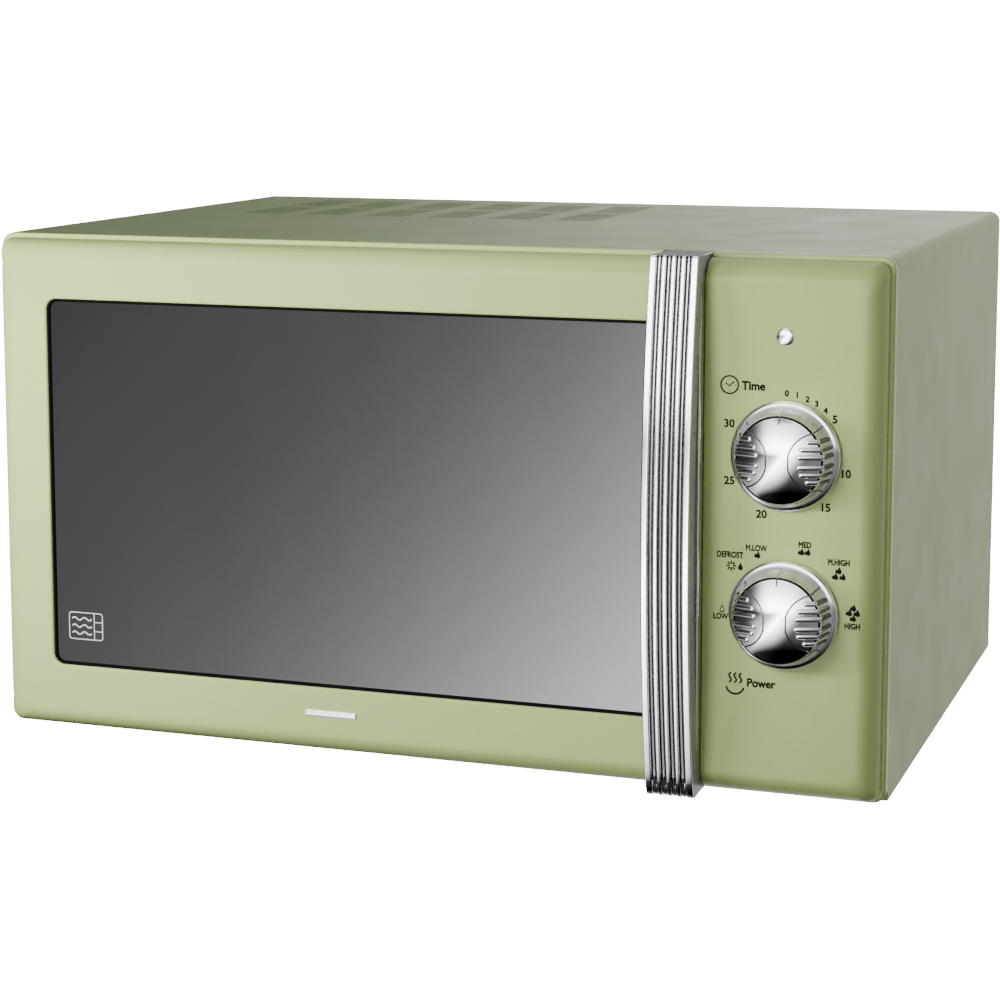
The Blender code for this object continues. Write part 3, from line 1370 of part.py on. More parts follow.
def build():
    outer_casing()
    rear_panel()
    base_plate()
    motor_cover()
    feet()
    rear_spacers()
    cord_gland()
    cavity()
    front_frame()
    hinge_brackets()
    control_panel()
    timer_unit()
    timer_bell()
    power_switch()
    latch_board()
    microswitches()
    waveguide()
    waveguide_cover()
    magnetron()
    thermal_cutout()
    transformer()
    capacitor()
    capacitor_clamp()
    diode()
    fan_shroud()
    fan_motor()
    noise_filter()
    lamp_holder()
    oven_lamp()
    turntable_motor()

    door = carry("door_axis", (HINGE_X, HINGE_Y, MID_Z), [
        door_frame(), door_glass(), choke_frame(), door_screen(), door_inner_film(),
        choke_cover(), handle_bar(), handle_base(), *handle_screws()])
    carry("latch_axis", (HOOK_X, FRONT + 9.5 * MM, MID_Z), [latch_hooks(), latch_spring()], door)
    for name, height in (("timer", TIMER_Z), ("power", POWER_Z)):
        pieces = [knob(name + "_knob", height), knob_shaft(name + "_shaft", height)]
        carry(name + "_axis", (KNOB_X, FRONT, height), pieces)
    carry("fan_axis", (FAN_X, FAN_Y, FAN_Z), [fan_blade()])
    carry("turntable_axis", (CAVITY_X, CAVITY_Y, TRAY_UNDER), [turntable_coupler(), glass_tray()])
    ring = carry("roller_ring_axis", (CAVITY_X, CAVITY_Y, ROLLER_Z), [roller_ring()])
    for number, wheel in enumerate(rollers()):
        carry(f"roller_{number + 1}_axis", wheel.matrix_world.translation, [wheel], ring)


build()
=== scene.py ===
"""Looks for the microwave oven: finer mouldings, chrome, print, finishes, light and camera.

Everything is in metres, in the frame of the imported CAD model.
"""

import json
import math

import bmesh
import bpy
from mathutils import Matrix, Vector


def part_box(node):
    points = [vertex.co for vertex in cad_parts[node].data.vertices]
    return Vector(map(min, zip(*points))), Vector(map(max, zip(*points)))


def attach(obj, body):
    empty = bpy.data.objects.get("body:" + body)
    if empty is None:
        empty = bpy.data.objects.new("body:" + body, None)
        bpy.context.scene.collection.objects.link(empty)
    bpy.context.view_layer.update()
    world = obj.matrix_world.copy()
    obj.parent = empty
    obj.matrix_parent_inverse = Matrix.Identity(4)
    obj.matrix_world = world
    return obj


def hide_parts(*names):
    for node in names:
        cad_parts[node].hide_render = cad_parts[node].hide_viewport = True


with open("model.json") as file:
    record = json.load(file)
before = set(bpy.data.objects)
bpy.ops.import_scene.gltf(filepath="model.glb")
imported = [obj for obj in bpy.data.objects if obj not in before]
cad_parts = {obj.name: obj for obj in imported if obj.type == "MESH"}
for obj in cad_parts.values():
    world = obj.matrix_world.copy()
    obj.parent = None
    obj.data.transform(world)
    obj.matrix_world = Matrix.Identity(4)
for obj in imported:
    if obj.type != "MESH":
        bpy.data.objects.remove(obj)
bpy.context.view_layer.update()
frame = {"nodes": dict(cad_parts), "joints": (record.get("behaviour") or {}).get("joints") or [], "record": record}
nodes = frame["nodes"]
joints = {joint["name"]: joint for joint in frame["joints"]}

MM = 0.001
TO_FRONT = Matrix.Rotation(math.radians(90), 4, "X")
TO_BACK = Matrix.Rotation(math.radians(-90), 4, "X")
DOWNWARDS = Matrix.Rotation(math.radians(180), 4, "X")

# Places read from the frame
door_low, door_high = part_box("door_frame")
panel_low, panel_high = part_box("control_panel")
casing_low, casing_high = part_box("outer_casing")
bar_low, bar_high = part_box("handle_bar")
FRONT = door_low.y
BOTTOM = door_low.z
TOP = door_high.z
MID_Z = (BOTTOM + TOP) / 2
LEFT = door_low.x
RIGHT = panel_high.x
DOOR_RIGHT = door_high.x
PANEL_LEFT = panel_low.x
FACE = casing_low.y
REAR = casing_high.y
HINGE = Vector(joints["door_hinge"]["pos_m"])
TIMER = Vector(joints["timer_turn"]["pos_m"])
POWER = Vector(joints["power_turn"]["pos_m"])

# Mouldings, as in the frame
MOULD_DEPTH = 17.5 * MM
PILLOW_RADIUS = 11 * MM
RIM_WIDTH = 2.5 * MM
RIM_WIDTH_BELOW = 1.5 * MM
RIM_FRONT = 13.2 * MM
OUTLINE_RADIUS = 6.5 * MM
WINDOW = (-208.5 * MM, 128 * MM, 49 * MM, 248 * MM)
WINDOW_RADIUS = 6.5 * MM
SHAFT_HOLE = 5 * MM


# ------------------------------------------------ finishes

def feed(tree, socket, value):
    """Link an output to an input, or give the input a plain value."""
    if isinstance(value, bpy.types.NodeSocket):
        tree.links.new(value, socket)
    else:
        socket.default_value = value


def mix_colours(tree, factor, first, second, blend="MIX"):
    node = tree.nodes.new("ShaderNodeMix")
    node.data_type = "RGBA"
    node.blend_type = blend
    for socket, value in ((node.inputs["Factor"], factor), (node.inputs[6], first), (node.inputs[7], second)):
        feed(tree, socket, value)
    return node.outputs[2]


class Finish:
    """A procedural material with cloudy colour, uneven gloss and a fine grain."""

    def __init__(self, name):
        self.material = bpy.data.materials.new(name)
        self.material.use_nodes = True
        self.tree = self.material.node_tree
        self.shader = self.tree.nodes["Principled BSDF"]
        self.place = self.tree.nodes.new("ShaderNodeTexCoord").outputs["Object"]

    def add(self, kind, **values):
        """Add a node; each value is an output to link or a plain value, under its input's name."""
        node = self.tree.nodes.new("ShaderNode" + kind)
        for key, value in values.items():
            feed(self.tree, node.inputs[key.replace("_", " ")], value)
        return node

    def set(self, **values):
        for key, value in values.items():
            feed(self.tree, self.shader.inputs[key.replace("_", " ")], value)

    def noise(self, scale, detail=2.0, stretch=None):
        source = self.place
        if stretch:
            source = self.add("Mapping", Vector=source, Scale=stretch).outputs["Vector"]
        return self.add("TexNoise", Vector=source, Scale=scale, Detail=detail).outputs["Fac"]

    def spread(self, source, low, high, start=0.3, end=0.7):
        made = self.add("MapRange", Value=source, From_Min=start, From_Max=end, To_Min=low, To_Max=high)
        return made.outputs["Result"]

    def mix(self, factor, first, second):
        """Blend two colours, each an output or three plain values, by a factor output."""
        colours = [value if isinstance(value, bpy.types.NodeSocket) else (*value, 1.0)
                   for value in (first, second)]
        return mix_colours(self.tree, factor, *colours)

    def bump(self, height, distance, strength=0.5, under=None):
        made = self.add("Bump", Height=height, Strength=strength, Distance=distance)
        if under:
            self.tree.links.new(under, made.inputs["Normal"])
        self.set(Normal=made.outputs["Normal"])
        return made.outputs["Normal"]

    def worn_and_highlit_edges(self, base, light, amount=0.5):
        """Lighten the sharp outer edges a little: partly wear, as handling does, and partly a painted highlight.
        """
        point = self.add("NewGeometry").outputs["Pointiness"]
        edge = self.spread(point, 0.0, amount, 0.53, 0.62)
        return self.mix(edge, base, light)


def shade(colour, factor):
    return tuple(min(1.0, channel * factor) for channel in colour)


def coated(name, colour, rough, grain_scale, grain_depth, metallic=0.0, coat=0.0, coat_rough=0.1,
           mottle=0.03, rough_spread=0.05, edge_wear_and_highlight=0.25, gloss=0.5):
    """Paint or plastic: cloudy colour, uneven gloss, a fine grain and lighter edges, partly wear and partly a
    painted highlight.
    """
    made = Finish(name)
    made.set(Metallic=metallic, Coat_Weight=coat, Coat_Roughness=coat_rough, Specular_IOR_Level=gloss)
    cloud = made.spread(made.noise(9, 4), 0, 1)
    fine = made.spread(made.noise(420, 2), 0, 1)
    base = made.mix(cloud, shade(colour, 1 - mottle), shade(colour, 1 + mottle))
    base = made.mix(made.spread(fine, 0, 0.35), base, shade(colour, 1 - 2 * mottle))
    # Lighter edges: partly wear, partly a painted highlight
    base = made.worn_and_highlit_edges(base, shade(colour, 1.4), edge_wear_and_highlight)
    made.set(Base_Color=base,
             Roughness=made.spread(made.noise(34, 5), rough - rough_spread, rough + rough_spread))
    large = made.bump(made.noise(grain_scale * 0.12, 2), grain_depth * 2, 0.25)
    made.bump(made.noise(grain_scale, 3), grain_depth, 0.5, large)
    return made.material


def metal(name, colour, rough, stretch=(1, 1, 1), scratch=400, spread=0.06, depth=0.00001,
          anisotropic=0.0):
    """Bare or plated metal with fine scratches and cloudy gloss."""
    made = Finish(name)
    made.set(Metallic=1.0, Anisotropic=anisotropic)
    cloud = made.spread(made.noise(14, 4), 0, 1)
    lines = made.noise(scratch, 3, stretch)
    made.set(Base_Color=made.mix(cloud, shade(colour, 0.95), colour),
             Roughness=made.spread(lines, max(rough - spread, 0.01), rough + spread))
    made.bump(lines, depth, 0.3)
    return made.material


def dotted(name, colour, hole, pitch, share):
    """Metal sheet with a pattern of small round holes, drawn as darker dots with a sunk edge."""
    made = Finish(name)
    cells = made.add("TexVoronoi", Vector=made.place, Scale=1 / pitch, Randomness=0.0)
    dot = made.spread(cells.outputs["Distance"], 1, 0, share - 0.06, share + 0.06)
    made.set(Metallic=1.0, Base_Color=made.mix(dot, colour, hole),
             Roughness=made.spread(made.noise(60, 3), 0.29, 0.41))
    made.bump(dot, -0.0002, 0.6)
    return made.material


GREEN = (0.46, 0.60, 0.21)
GREEN_SHEET = (0.42, 0.54, 0.25)

# The strong edge lightening on the green mouldings is mostly a painted highlight along their rims and the window's
# lip
PAINTED_MOULD = coated("moulded_green", GREEN, 0.36, 900, 0.00002, coat=0.06, coat_rough=0.2,
                       edge_wear_and_highlight=0.7, gloss=0.27)
PAINTED_SHEET = coated("sheet_green", GREEN_SHEET, 0.42, 1400, 0.00004, gloss=0.1)
POLISH = {"scratch": 60, "depth": 0.0000005}
CHROME = metal("bright_chrome", (0.9, 0.9, 0.91), 0.045, spread=0.02, **POLISH)
SKIRT_CHROME = coated("skirt_chrome", (0.8, 0.8, 0.81), 0.2, 900, 0.000005, metallic=0.55, edge_wear_and_highlight=0.0)
# Near-black chrome: a painted dark reflection in a narrow band round the rim of the knobs' domes
RIM_DARK_REFLECTION_CHROME = metal("rim_chrome_painted_reflection", (0.02, 0.02, 0.02), 0.2, spread=0.05, **POLISH)
# Chrome darkened as painted shade, for the handle's grooves, the knobs' lobe grooves and the grip ribs' sides
SHADE_DARKENED_CHROME = metal("chrome_painted_shade", (0.17, 0.17, 0.18), 0.2, spread=0.05, **POLISH)
FLANK = coated("handle_flank", (0.42, 0.42, 0.45), 0.3, 900, 0.00001, metallic=0.15, edge_wear_and_highlight=0.1, gloss=0.3)
# Dark grey for the chrome bar's end faces: painted shade and dark reflection
SHADED_END_CAP = coated("handle_end_painted_shade", (0.17, 0.17, 0.175), 0.5, 900, 0.00001, gloss=0.1, edge_wear_and_highlight=0.1)
BLACK_INK = coated("black_print", (0.006, 0.006, 0.006), 0.6, 1500, 0.00001, edge_wear_and_highlight=0.0, gloss=0.06)
PALE_INK = coated("pale_print", (0.62, 0.63, 0.62), 0.4, 1500, 0.00001, edge_wear_and_highlight=0.0)
BLACK_WINDOW_RING = coated("black_window_ring", (0.003, 0.003, 0.003), 0.6, 1200, 0.00004, edge_wear_and_highlight=0.0, gloss=0.05)


def mirror_glass():
    """Dark glass with a half mirror behind it, and a few faint wiping marks."""
    made = Finish("mirror_glass")
    cloud = made.spread(made.noise(5, 2), 0, 1)
    wiped = made.noise(26, 4, (1, 1, 0.35))
    made.set(Metallic=1.0, Coat_Weight=0.33, Coat_Roughness=0.02,
             Base_Color=made.mix(cloud, (0.058, 0.058, 0.059), (0.061, 0.061, 0.061)),
             Roughness=made.spread(wiped, 0.08, 0.11))
    made.bump(made.noise(7, 1), 0.00002, 0.2)
    return made.material


def clear_glass(name, tint):
    """Clear glass with a faint tint and uneven gloss."""
    made = Finish(name)
    cloud = made.spread(made.noise(8, 2), 0, 1)
    made.set(Transmission_Weight=1.0, IOR=1.45, Base_Color=made.mix(cloud, shade(tint, 0.97), tint),
             Roughness=made.spread(made.noise(30, 4), 0.03, 0.08))
    made.bump(made.noise(90, 2), 0.00003, 0.2)
    return made.material


SLOT_FINISHES = {
    "green_steel": PAINTED_SHEET,
    "green_plastic": PAINTED_MOULD,
    "chrome": CHROME,
    "zinc": metal("zinc_sheet", (0.56, 0.57, 0.58), 0.36, stretch=(1, 8, 1), scratch=180, spread=0.1,
                  depth=0.00003, anisotropic=0.3),
    "cavity_enamel": coated("cavity_enamel", (0.5, 0.5, 0.48), 0.5, 700, 0.00004, mottle=0.04,
                            rough_spread=0.03, gloss=0.3),
    "glass_tint": mirror_glass(),
    "glass_clear": clear_glass("clear_glass", (0.9, 0.95, 0.93)),
    "black_plastic": coated("black_plastic", (0.022, 0.022, 0.023), 0.48, 1600, 0.00006),
    "white_plastic": coated("white_plastic", (0.7, 0.7, 0.66), 0.42, 1200, 0.00003),
    "rubber": coated("foot_rubber", (0.03, 0.03, 0.03), 0.72, 1300, 0.00009, edge_wear_and_highlight=0.5),
    "iron": metal("iron_laminations", (0.16, 0.16, 0.165), 0.5, stretch=(1, 1, 40), scratch=120,
                  spread=0.12, depth=0.00008),
    "aluminium": metal("aluminium", (0.72, 0.73, 0.74), 0.3, stretch=(1, 20, 1), scratch=90),
    "mica": coated("mica_sheet", (0.5, 0.44, 0.32), 0.5, 500, 0.00006, mottle=0.12),
    "board": coated("circuit_board", (0.05, 0.2, 0.09), 0.4, 800, 0.00004, coat=0.3),
}
SCREEN = dotted("screen_sheet", (0.3, 0.3, 0.3), (0.01, 0.01, 0.01), 2.2 * MM, 0.36)

for entry in frame["record"]["subparts"]:
    node = nodes[entry["node"]]
    node.data.materials.clear()
    node.data.materials.append(SLOT_FINISHES[entry["material_slot"]])
nodes["door_screen"].data.materials[0] = SCREEN


# ------------------------------------------------ shapes

def smooth(target, angle=32):
    """Shade smooth with sharp corners, and keep the large flats flat."""
    target.data.shade_smooth()
    target.data.set_sharp_from_angle(angle=math.radians(angle))
    step = target.modifiers.new("flats", "WEIGHTED_NORMAL")
    step.keep_sharp = True
    step.weight = 100
    return apply_steps(target)


def from_bmesh(name, bm, finish=None):
    bmesh.ops.recalc_face_normals(bm, faces=bm.faces)
    mesh = bpy.data.meshes.new(name)
    bm.to_mesh(mesh)
    bm.free()
    made = bpy.data.objects.new(name, mesh)
    bpy.context.scene.collection.objects.link(made)
    if finish:
        mesh.materials.append(finish)
    return made


def add_box(bm, low, high):
    low = Vector(low)
    high = Vector(high)
    place = Matrix.Translation((low + high) / 2) @ Matrix.Diagonal((*(high - low), 1.0))
    bmesh.ops.create_cube(bm, size=1.0, matrix=place)


def rounded_box(name, low, high, width, segments=3, finish=None):
    bm = bmesh.new()
    add_box(bm, low, high)
    bmesh.ops.bevel(bm, geom=bm.edges, offset=width, segments=segments, profile=0.5, affect="EDGES")
    return from_bmesh(name, bm, finish)


def loft(name, loops, finish=None, ring=False):
    """Bridge closed loops of equally many points; a ring also joins the last to the first."""
    bm = bmesh.new()
    rows = [[bm.verts.new(point) for point in loop] for loop in loops]
    pairs = list(zip(rows, rows[1:]))
    if ring:
        pairs.append((rows[-1], rows[0]))
    for near, far in pairs:
        for i in range(len(near)):
            j = (i + 1) % len(near)
            bm.faces.new((near[i], near[j], far[j], far[i]))
    if not ring:
        bm.faces.new(rows[0])
        bm.faces.new(rows[-1])
    return from_bmesh(name, bm, finish)


def turned(name, profile, place, steps, finish=None):
    """Turn an open profile of (radius, height), from axis to axis, about Z and place it."""
    bm = bmesh.new()
    rows = []
    for radius, height in profile:
        if radius < 1e-7:
            rows.append([bm.verts.new((0, 0, height))])
            continue
        rows.append([bm.verts.new((radius * math.cos(turn), radius * math.sin(turn), height))
                     for turn in (2 * math.pi * i / steps for i in range(steps))])
    for near, far in zip(rows, rows[1:]):
        for i in range(steps):
            j = (i + 1) % steps
            if len(near) == 1:
                bm.faces.new((near[0], far[i], far[j]))
            elif len(far) == 1:
                bm.faces.new((near[i], far[0], near[j]))
            else:
                bm.faces.new((near[i], near[j], far[j], far[i]))
    bmesh.ops.transform(bm, matrix=place, verts=bm.verts)
    return from_bmesh(name, bm, finish)


def change(target, other, operation):
    """Cut a piece with another object or join that to it, and remove the other."""
    step = target.modifiers.new(operation, "BOOLEAN")
    step.operation = operation
    step.solver = "EXACT"
    step.object = other
    apply_steps(target)
    bpy.data.objects.remove(other, do_unlink=True)


def apply_steps(target):
    bpy.context.view_layer.update()
    graph = bpy.context.evaluated_depsgraph_get()
    mesh = bpy.data.meshes.new_from_object(target.evaluated_get(graph))
    target.modifiers.clear()
    target.data = mesh
    return target


def boxes(name, corners):
    bm = bmesh.new()
    for low, high in corners:
        add_box(bm, low, high)
    return from_bmesh(name, bm)


def front_loop(left, right, low, high, radius_left, radius_right, y, corner_steps=12):
    """A rounded rectangle that faces the front, as points at depth y."""
    corners = (
        (left, low, radius_left, 180),
        (right, low, radius_right, 270),
        (right, high, radius_right, 0),
        (left, high, radius_left, 90),
    )
    points = []
    for x, z, radius, start in corners:
        centre_x = x + radius if x == left else x - radius
        centre_z = z + radius if z == low else z - radius
        for step in range(corner_steps + 1):
            turn = math.radians(start + 90 * step / corner_steps)
            points.append((centre_x + radius * math.cos(turn), y, centre_z + radius * math.sin(turn)))
    return points


def arc(cx, cy, radius, start, end, steps):
    """Points along an arc between two angles in degrees."""
    points = []
    for step in range(steps + 1):
        turn = math.radians(start + (end - start) * step / steps)
        points.append((cx + radius * math.cos(turn), cy + radius * math.sin(turn)))
    return points


# ------------------------------------------------ door and panel mouldings

def pillow_loops(left, right, rim_left, rim_right, depth):
    """Loops of a pillow moulding from its back edge, over the rim, to the flat front."""
    def section(rim, rounding, depth_here):
        corner = OUTLINE_RADIUS + 0.35 * rounding - 0.4 * rim * RIM_WIDTH
        plain = 0.6 * MM
        inset = rim * RIM_WIDTH + rounding
        below = rim * RIM_WIDTH_BELOW + rounding
        return front_loop(left + inset * rim_left, right - inset * rim_right,
                          BOTTOM + below, TOP - inset,
                          corner if rim_left else plain, corner if rim_right else plain,
                          FRONT + depth_here)

    loops = [section(0, 0, depth), section(0, 0, RIM_FRONT + 1.0 * MM)]
    for step in range(1, 5):
        turn = math.radians(90 * step / 5)
        loops.append(section(0.35 * (1 - math.cos(turn)), 0, RIM_FRONT + 1.0 * MM * (1 - math.sin(turn))))
    loops += [section(0.4, 0, RIM_FRONT), section(0.93, 0, RIM_FRONT),
              section(1.0, 0, RIM_FRONT - 0.15 * MM)]
    steps = 16
    for step in range(steps + 1):
        turn = math.radians(90 * step / steps)
        rounding = PILLOW_RADIUS * (1 - math.cos(turn))
        loops.append(section(1, rounding, PILLOW_RADIUS * (1 - math.sin(turn))))
    loops.append(section(1, PILLOW_RADIUS + 0.5 * MM, 0))
    return loops


def window_loop(grow, depth):
    """The window's outline, grown on all sides, at a depth behind the door's front."""
    left, right, low, high = WINDOW
    radius = WINDOW_RADIUS + grow
    return front_loop(left - grow, right + grow, low - grow, high + grow, radius, radius, FRONT + depth)


def hinge_clearance():
    """The corner that would strike the casing as the door swings."""
    reach = 15 * MM
    outline = arc(HINGE.x, HINGE.y, 9.5 * MM, 90, 180, 16)
    outline += [(HINGE.x - reach, HINGE.y), (HINGE.x - reach, HINGE.y + reach), (HINGE.x, HINGE.y + reach)]
    rows = [[(x, y, z) for x, y in outline] for z in (BOTTOM - 10 * MM, TOP + 10 * MM)]
    return loft("hinge_clearance", rows)


def door_moulding():
    loops = pillow_loops(LEFT, DOOR_RIGHT, 1, 0, MOULD_DEPTH)
    loops.append(window_loop(1.2 * MM, 0))
    steps = 6
    for step in range(steps + 1):
        turn = math.radians(90 * step / steps)
        loops.append(window_loop(0.7 * MM - 1.2 * MM * math.sin(turn), 1.2 * MM * (1 - math.cos(turn))))
    loops.append(window_loop(-0.5 * MM, 2.1 * MM))
    hollow = (LEFT + 14 * MM, DOOR_RIGHT - 3 * MM, BOTTOM + 10 * MM, TOP - 10 * MM)
    loops += [front_loop(*hollow, 5 * MM, 5 * MM, FRONT + deep) for deep in (2.4 * MM, MOULD_DEPTH)]
    door = loft("door_moulding", loops, PAINTED_MOULD, ring=True)
    change(door, hinge_clearance(), "DIFFERENCE")
    notch = bar_low.x - 0.3 * MM
    wrap = 8.5 * MM
    cuts = [((notch, FRONT - MM, BOTTOM - MM), (DOOR_RIGHT + MM, FACE, BOTTOM + wrap)),
            ((notch, FRONT - MM, TOP - wrap), (DOOR_RIGHT + MM, FACE, TOP + MM))]
    for bracket in ("hinge_bracket_lower", "hinge_bracket_upper"):
        low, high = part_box(bracket)
        height = low.z + 5 * MM if low.z < MID_Z else high.z - 5 * MM
        cuts.append(((LEFT - MM, FRONT + 3.5 * MM, height - 1.6 * MM),
                     (HINGE.x + 5.1 * MM, FRONT + MOULD_DEPTH + MM, height + 1.6 * MM)))
    change(door, boxes("door_cuts", cuts), "DIFFERENCE")
    smooth(door)
    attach(door, "door")
    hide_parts("door_frame")


def panel_moulding():
    depth = panel_high.y - FRONT
    loops = []
    for inset, inner in ((9.5 * MM, 3.0 * MM), (5.5 * MM, 7.0 * MM), (5.5 * MM, depth)):
        loops.append(front_loop(PANEL_LEFT + 3 * MM, RIGHT - inset, BOTTOM + inset, TOP - inset,
                                0.6 * MM, 4 * MM, FRONT + inner))
    panel = loft("panel_moulding", loops + pillow_loops(PANEL_LEFT, RIGHT, 0, 1, depth), PAINTED_MOULD)
    bm = bmesh.new()
    for spot in (TIMER, POWER):
        place = Matrix.Translation((spot.x, FRONT + 3 * MM, spot.z)) @ TO_FRONT
        bmesh.ops.create_cone(bm, cap_ends=True, segments=48, radius1=SHAFT_HOLE, radius2=SHAFT_HOLE,
                              depth=8 * MM, matrix=place)
    change(panel, from_bmesh("shaft_holes", bm), "DIFFERENCE")
    smooth(panel)
    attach(panel, "oven_body")
    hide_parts("control_panel")


def window_glass():
    low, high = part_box("door_glass")
    glass = rounded_box("window_glass", low, high, 0.6 * MM, 3, SLOT_FINISHES["glass_tint"])
    smooth(glass)
    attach(glass, "door")
    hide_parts("door_glass")
    front = low.y - FRONT
    # A black ring round the glass in the window's rebate
    loops = [window_loop(-0.5 * MM, 1.6 * MM), window_loop(-0.5 * MM, front), window_loop(-2.1 * MM, front),
             window_loop(-2.1 * MM, front - 0.25 * MM), window_loop(-1.6 * MM, 1.6 * MM)]
    gasket = smooth(loft("black_window_ring", loops, BLACK_WINDOW_RING, ring=True))
    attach(gasket, "door")


# ------------------------------------------------ handle

BOW = FRONT - bar_low.y
END_PROUD = 11 * MM
BAR_THICK = 11 * MM
BOW_RADIUS = (((TOP - BOTTOM) / 2) ** 2 + (BOW - END_PROUD) ** 2) / (2 * (BOW - END_PROUD))
BAR_CORNER = 1.0 * MM
# The rolled ends: how long, and how far the front falls back
ROLL_LOW = 13.0 * MM
FALL_LOW = 2.4 * MM
ROLL_HIGH = 1.2 * MM
FALL_HIGH = 0.8 * MM
# The bar's finishes after the first, which is bright chrome
# Groove faces get chrome darkened as painted shade
FLANK_FACES, SHADED_END_FACES, GROOVE_SHADE_FACES = 1, 2, 3


def bow_front(height):
    """How far the bar's front stands in front of the door at a height."""
    offset = height - MID_Z
    return BOW - BOW_RADIUS + math.sqrt(BOW_RADIUS ** 2 - offset ** 2)


def rib_section():
    """The bar's front from left to right: (share of the width, depth below the rib tops)."""
    ribs = (3.6, 2.1, 2.1, 2.1, 3.6)
    groove = 0.9
    bead = 1.0
    deep = 1.6
    total = sum(ribs) + 4 * (2 * groove + bead)
    points = []
    across = 0.0
    for number, rib in enumerate(ribs):
        radius = 0.75 if rib > 3 else 0.6
        for step in range(5):
            turn = math.radians(90 * step / 4)
            points.append((across + radius * (1 - math.cos(turn)), radius * (1 - math.sin(turn))))
        for step in range(5):
            turn = math.radians(90 * step / 4)
            points.append((across + rib - radius * (1 - math.sin(turn)), radius * (1 - math.cos(turn))))
        across += rib
        if number == len(ribs) - 1:
            break
        points.append((across + 0.45, deep))
        across += groove
        for step in range(7):
            turn = math.radians(180 * step / 6)
            points.append((across + bead * (1 - math.cos(turn)) / 2, deep - 0.6 - 0.5 * math.sin(turn)))
        across += bead
        points.append((across + 0.45, deep))
        across += groove
    return [(x / total, depth * MM) for x, depth in points]


def end_fall(beyond, roll, fall):
    """How far the front falls back at a distance into a rolled end."""
    share = max(0.0, beyond) / roll
    return fall * (1 - math.sqrt(max(0.0, 1 - share * share)))


def bar_loop(section, height):
    """The bar's outline at a height, along its ribbed front and round its plain back."""
    fall = (end_fall(bar_low.z + ROLL_LOW - height, ROLL_LOW, FALL_LOW)
            + end_fall(height - bar_high.z + ROLL_HIGH, ROLL_HIGH, FALL_HIGH))
    front = FRONT - bow_front(height) + fall
    back = FRONT - bow_front(height) + BAR_THICK
    width = bar_high.x - bar_low.x
    turns = [math.radians(90 * i / 4) for i in range(5)]
    loop = [(bar_low.x + share * width, front + depth, height) for share, depth in section]
    for turn in turns:
        loop.append((bar_high.x - BAR_CORNER * (1 - math.cos(turn)),
                     back - BAR_CORNER * (1 - math.sin(turn)), height))
    for turn in turns:
        loop.append((bar_low.x + BAR_CORNER * (1 - math.sin(turn)),
                     back - BAR_CORNER * (1 - math.cos(turn)), height))
    return loop


def add_legs(bar):
    """Join the legs to the bar's ends, and the hooks that wrap round the door's edges."""
    leg_front = FRONT - END_PROUD + 3.5 * MM
    leg = 14 * MM
    wrap = 8.2 * MM
    eps = 0.02 * MM
    low = bar_low.z
    high = bar_high.z
    x0 = bar_low.x + eps
    x1 = bar_high.x - eps
    foot_y = FRONT - 0.3 * MM
    deep_y = FRONT + MOULD_DEPTH - 0.3 * MM
    for name, corners, edge in (
            ("leg_low", ((x0, leg_front, low + eps), (x1, foot_y, BOTTOM + leg)), 0.7 * MM),
            ("leg_high", ((x0, leg_front, TOP - leg), (x1, foot_y, high - eps)), 0.7 * MM),
            ("wrap_low", ((x0 + eps, leg_front + MM, low + 2 * eps),
                          (x1 - eps, deep_y, BOTTOM + wrap)), 0.5 * MM),
            ("wrap_high", ((x0 + eps, leg_front + MM, TOP - wrap),
                           (x1 - eps, deep_y, high - 2 * eps)), 0.5 * MM)):
        change(bar, rounded_box(name, *corners, edge), "UNION")


def handle_bar():
    low = bar_low.z
    high = bar_high.z
    straight = high - ROLL_HIGH - low - ROLL_LOW
    heights = [low + ROLL_LOW * (1 - math.cos(math.radians(90 * i / 8))) for i in range(8)]
    heights += [low + ROLL_LOW + straight * i / 60 for i in range(61)]
    heights += [high - ROLL_HIGH * (1 - math.sin(math.radians(90 * i / 4))) for i in range(1, 5)]
    section = rib_section()
    bar = loft("handle_ribbed_bar", [bar_loop(section, height) for height in heights], CHROME)
    add_legs(bar)
    for finish in (FLANK, SHADED_END_CAP, SHADE_DARKENED_CHROME):
        bar.data.materials.append(finish)
    for face in bar.data.polygons:
        centre = face.center
        side = min(centre.x - bar_low.x, bar_high.x - centre.x)
        sunk = centre.y - FRONT + bow_front(min(max(centre.z, low + ROLL_LOW), high - ROLL_HIGH))
        # End faces get the dark grey finish, painted shade on the bar's ends
        if abs(face.normal.z) > 0.9:
            face.material_index = SHADED_END_FACES
        elif side < MM and abs(face.normal.x) > 0.9 or face.normal.y > 0.9:
            face.material_index = FLANK_FACES
        # Faces deep in the grooves get chrome darkened as painted shade
        elif 1.05 * MM < sunk < 2.5 * MM and side > MM:
            face.material_index = GROOVE_SHADE_FACES
    smooth(bar, 30)
    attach(bar, "door")
    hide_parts("handle_bar")


def backing_strip():
    low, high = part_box("handle_base")
    strip = rounded_box("handle_backing_strip", low, high, 1.0 * MM, 4, CHROME)
    smooth(strip, 40)
    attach(strip, "door")
    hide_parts("handle_base")


# ------------------------------------------------ knobs

FACE_R = 20.3 * MM
FLANGE_R = 27 * MM
KNOB_HEIGHT = 15 * MM
KNOB_DOME = 5 * MM
SHAFT_R = 3.1 * MM
LOBE_CENTRE = 19 * MM
LOBE_RADIUS = 14 * MM
LOBE_LINE = 5.4 * MM
LOBE_ANGLE = math.radians(40.3)
SKIRT = [(20.3, 15.0), (20.9, 14.75), (21.3, 14.2), (21.6, 13.2), (22.0, 11.5), (22.5, 9.0),
         (22.9, 6.4), (23.3, 4.9), (23.7, 4.0), (24.2, 3.4), (24.8, 3.1), (25.6, 2.95), (26.3, 2.6),
         (26.8, 2.1), (27.0, 1.5)]
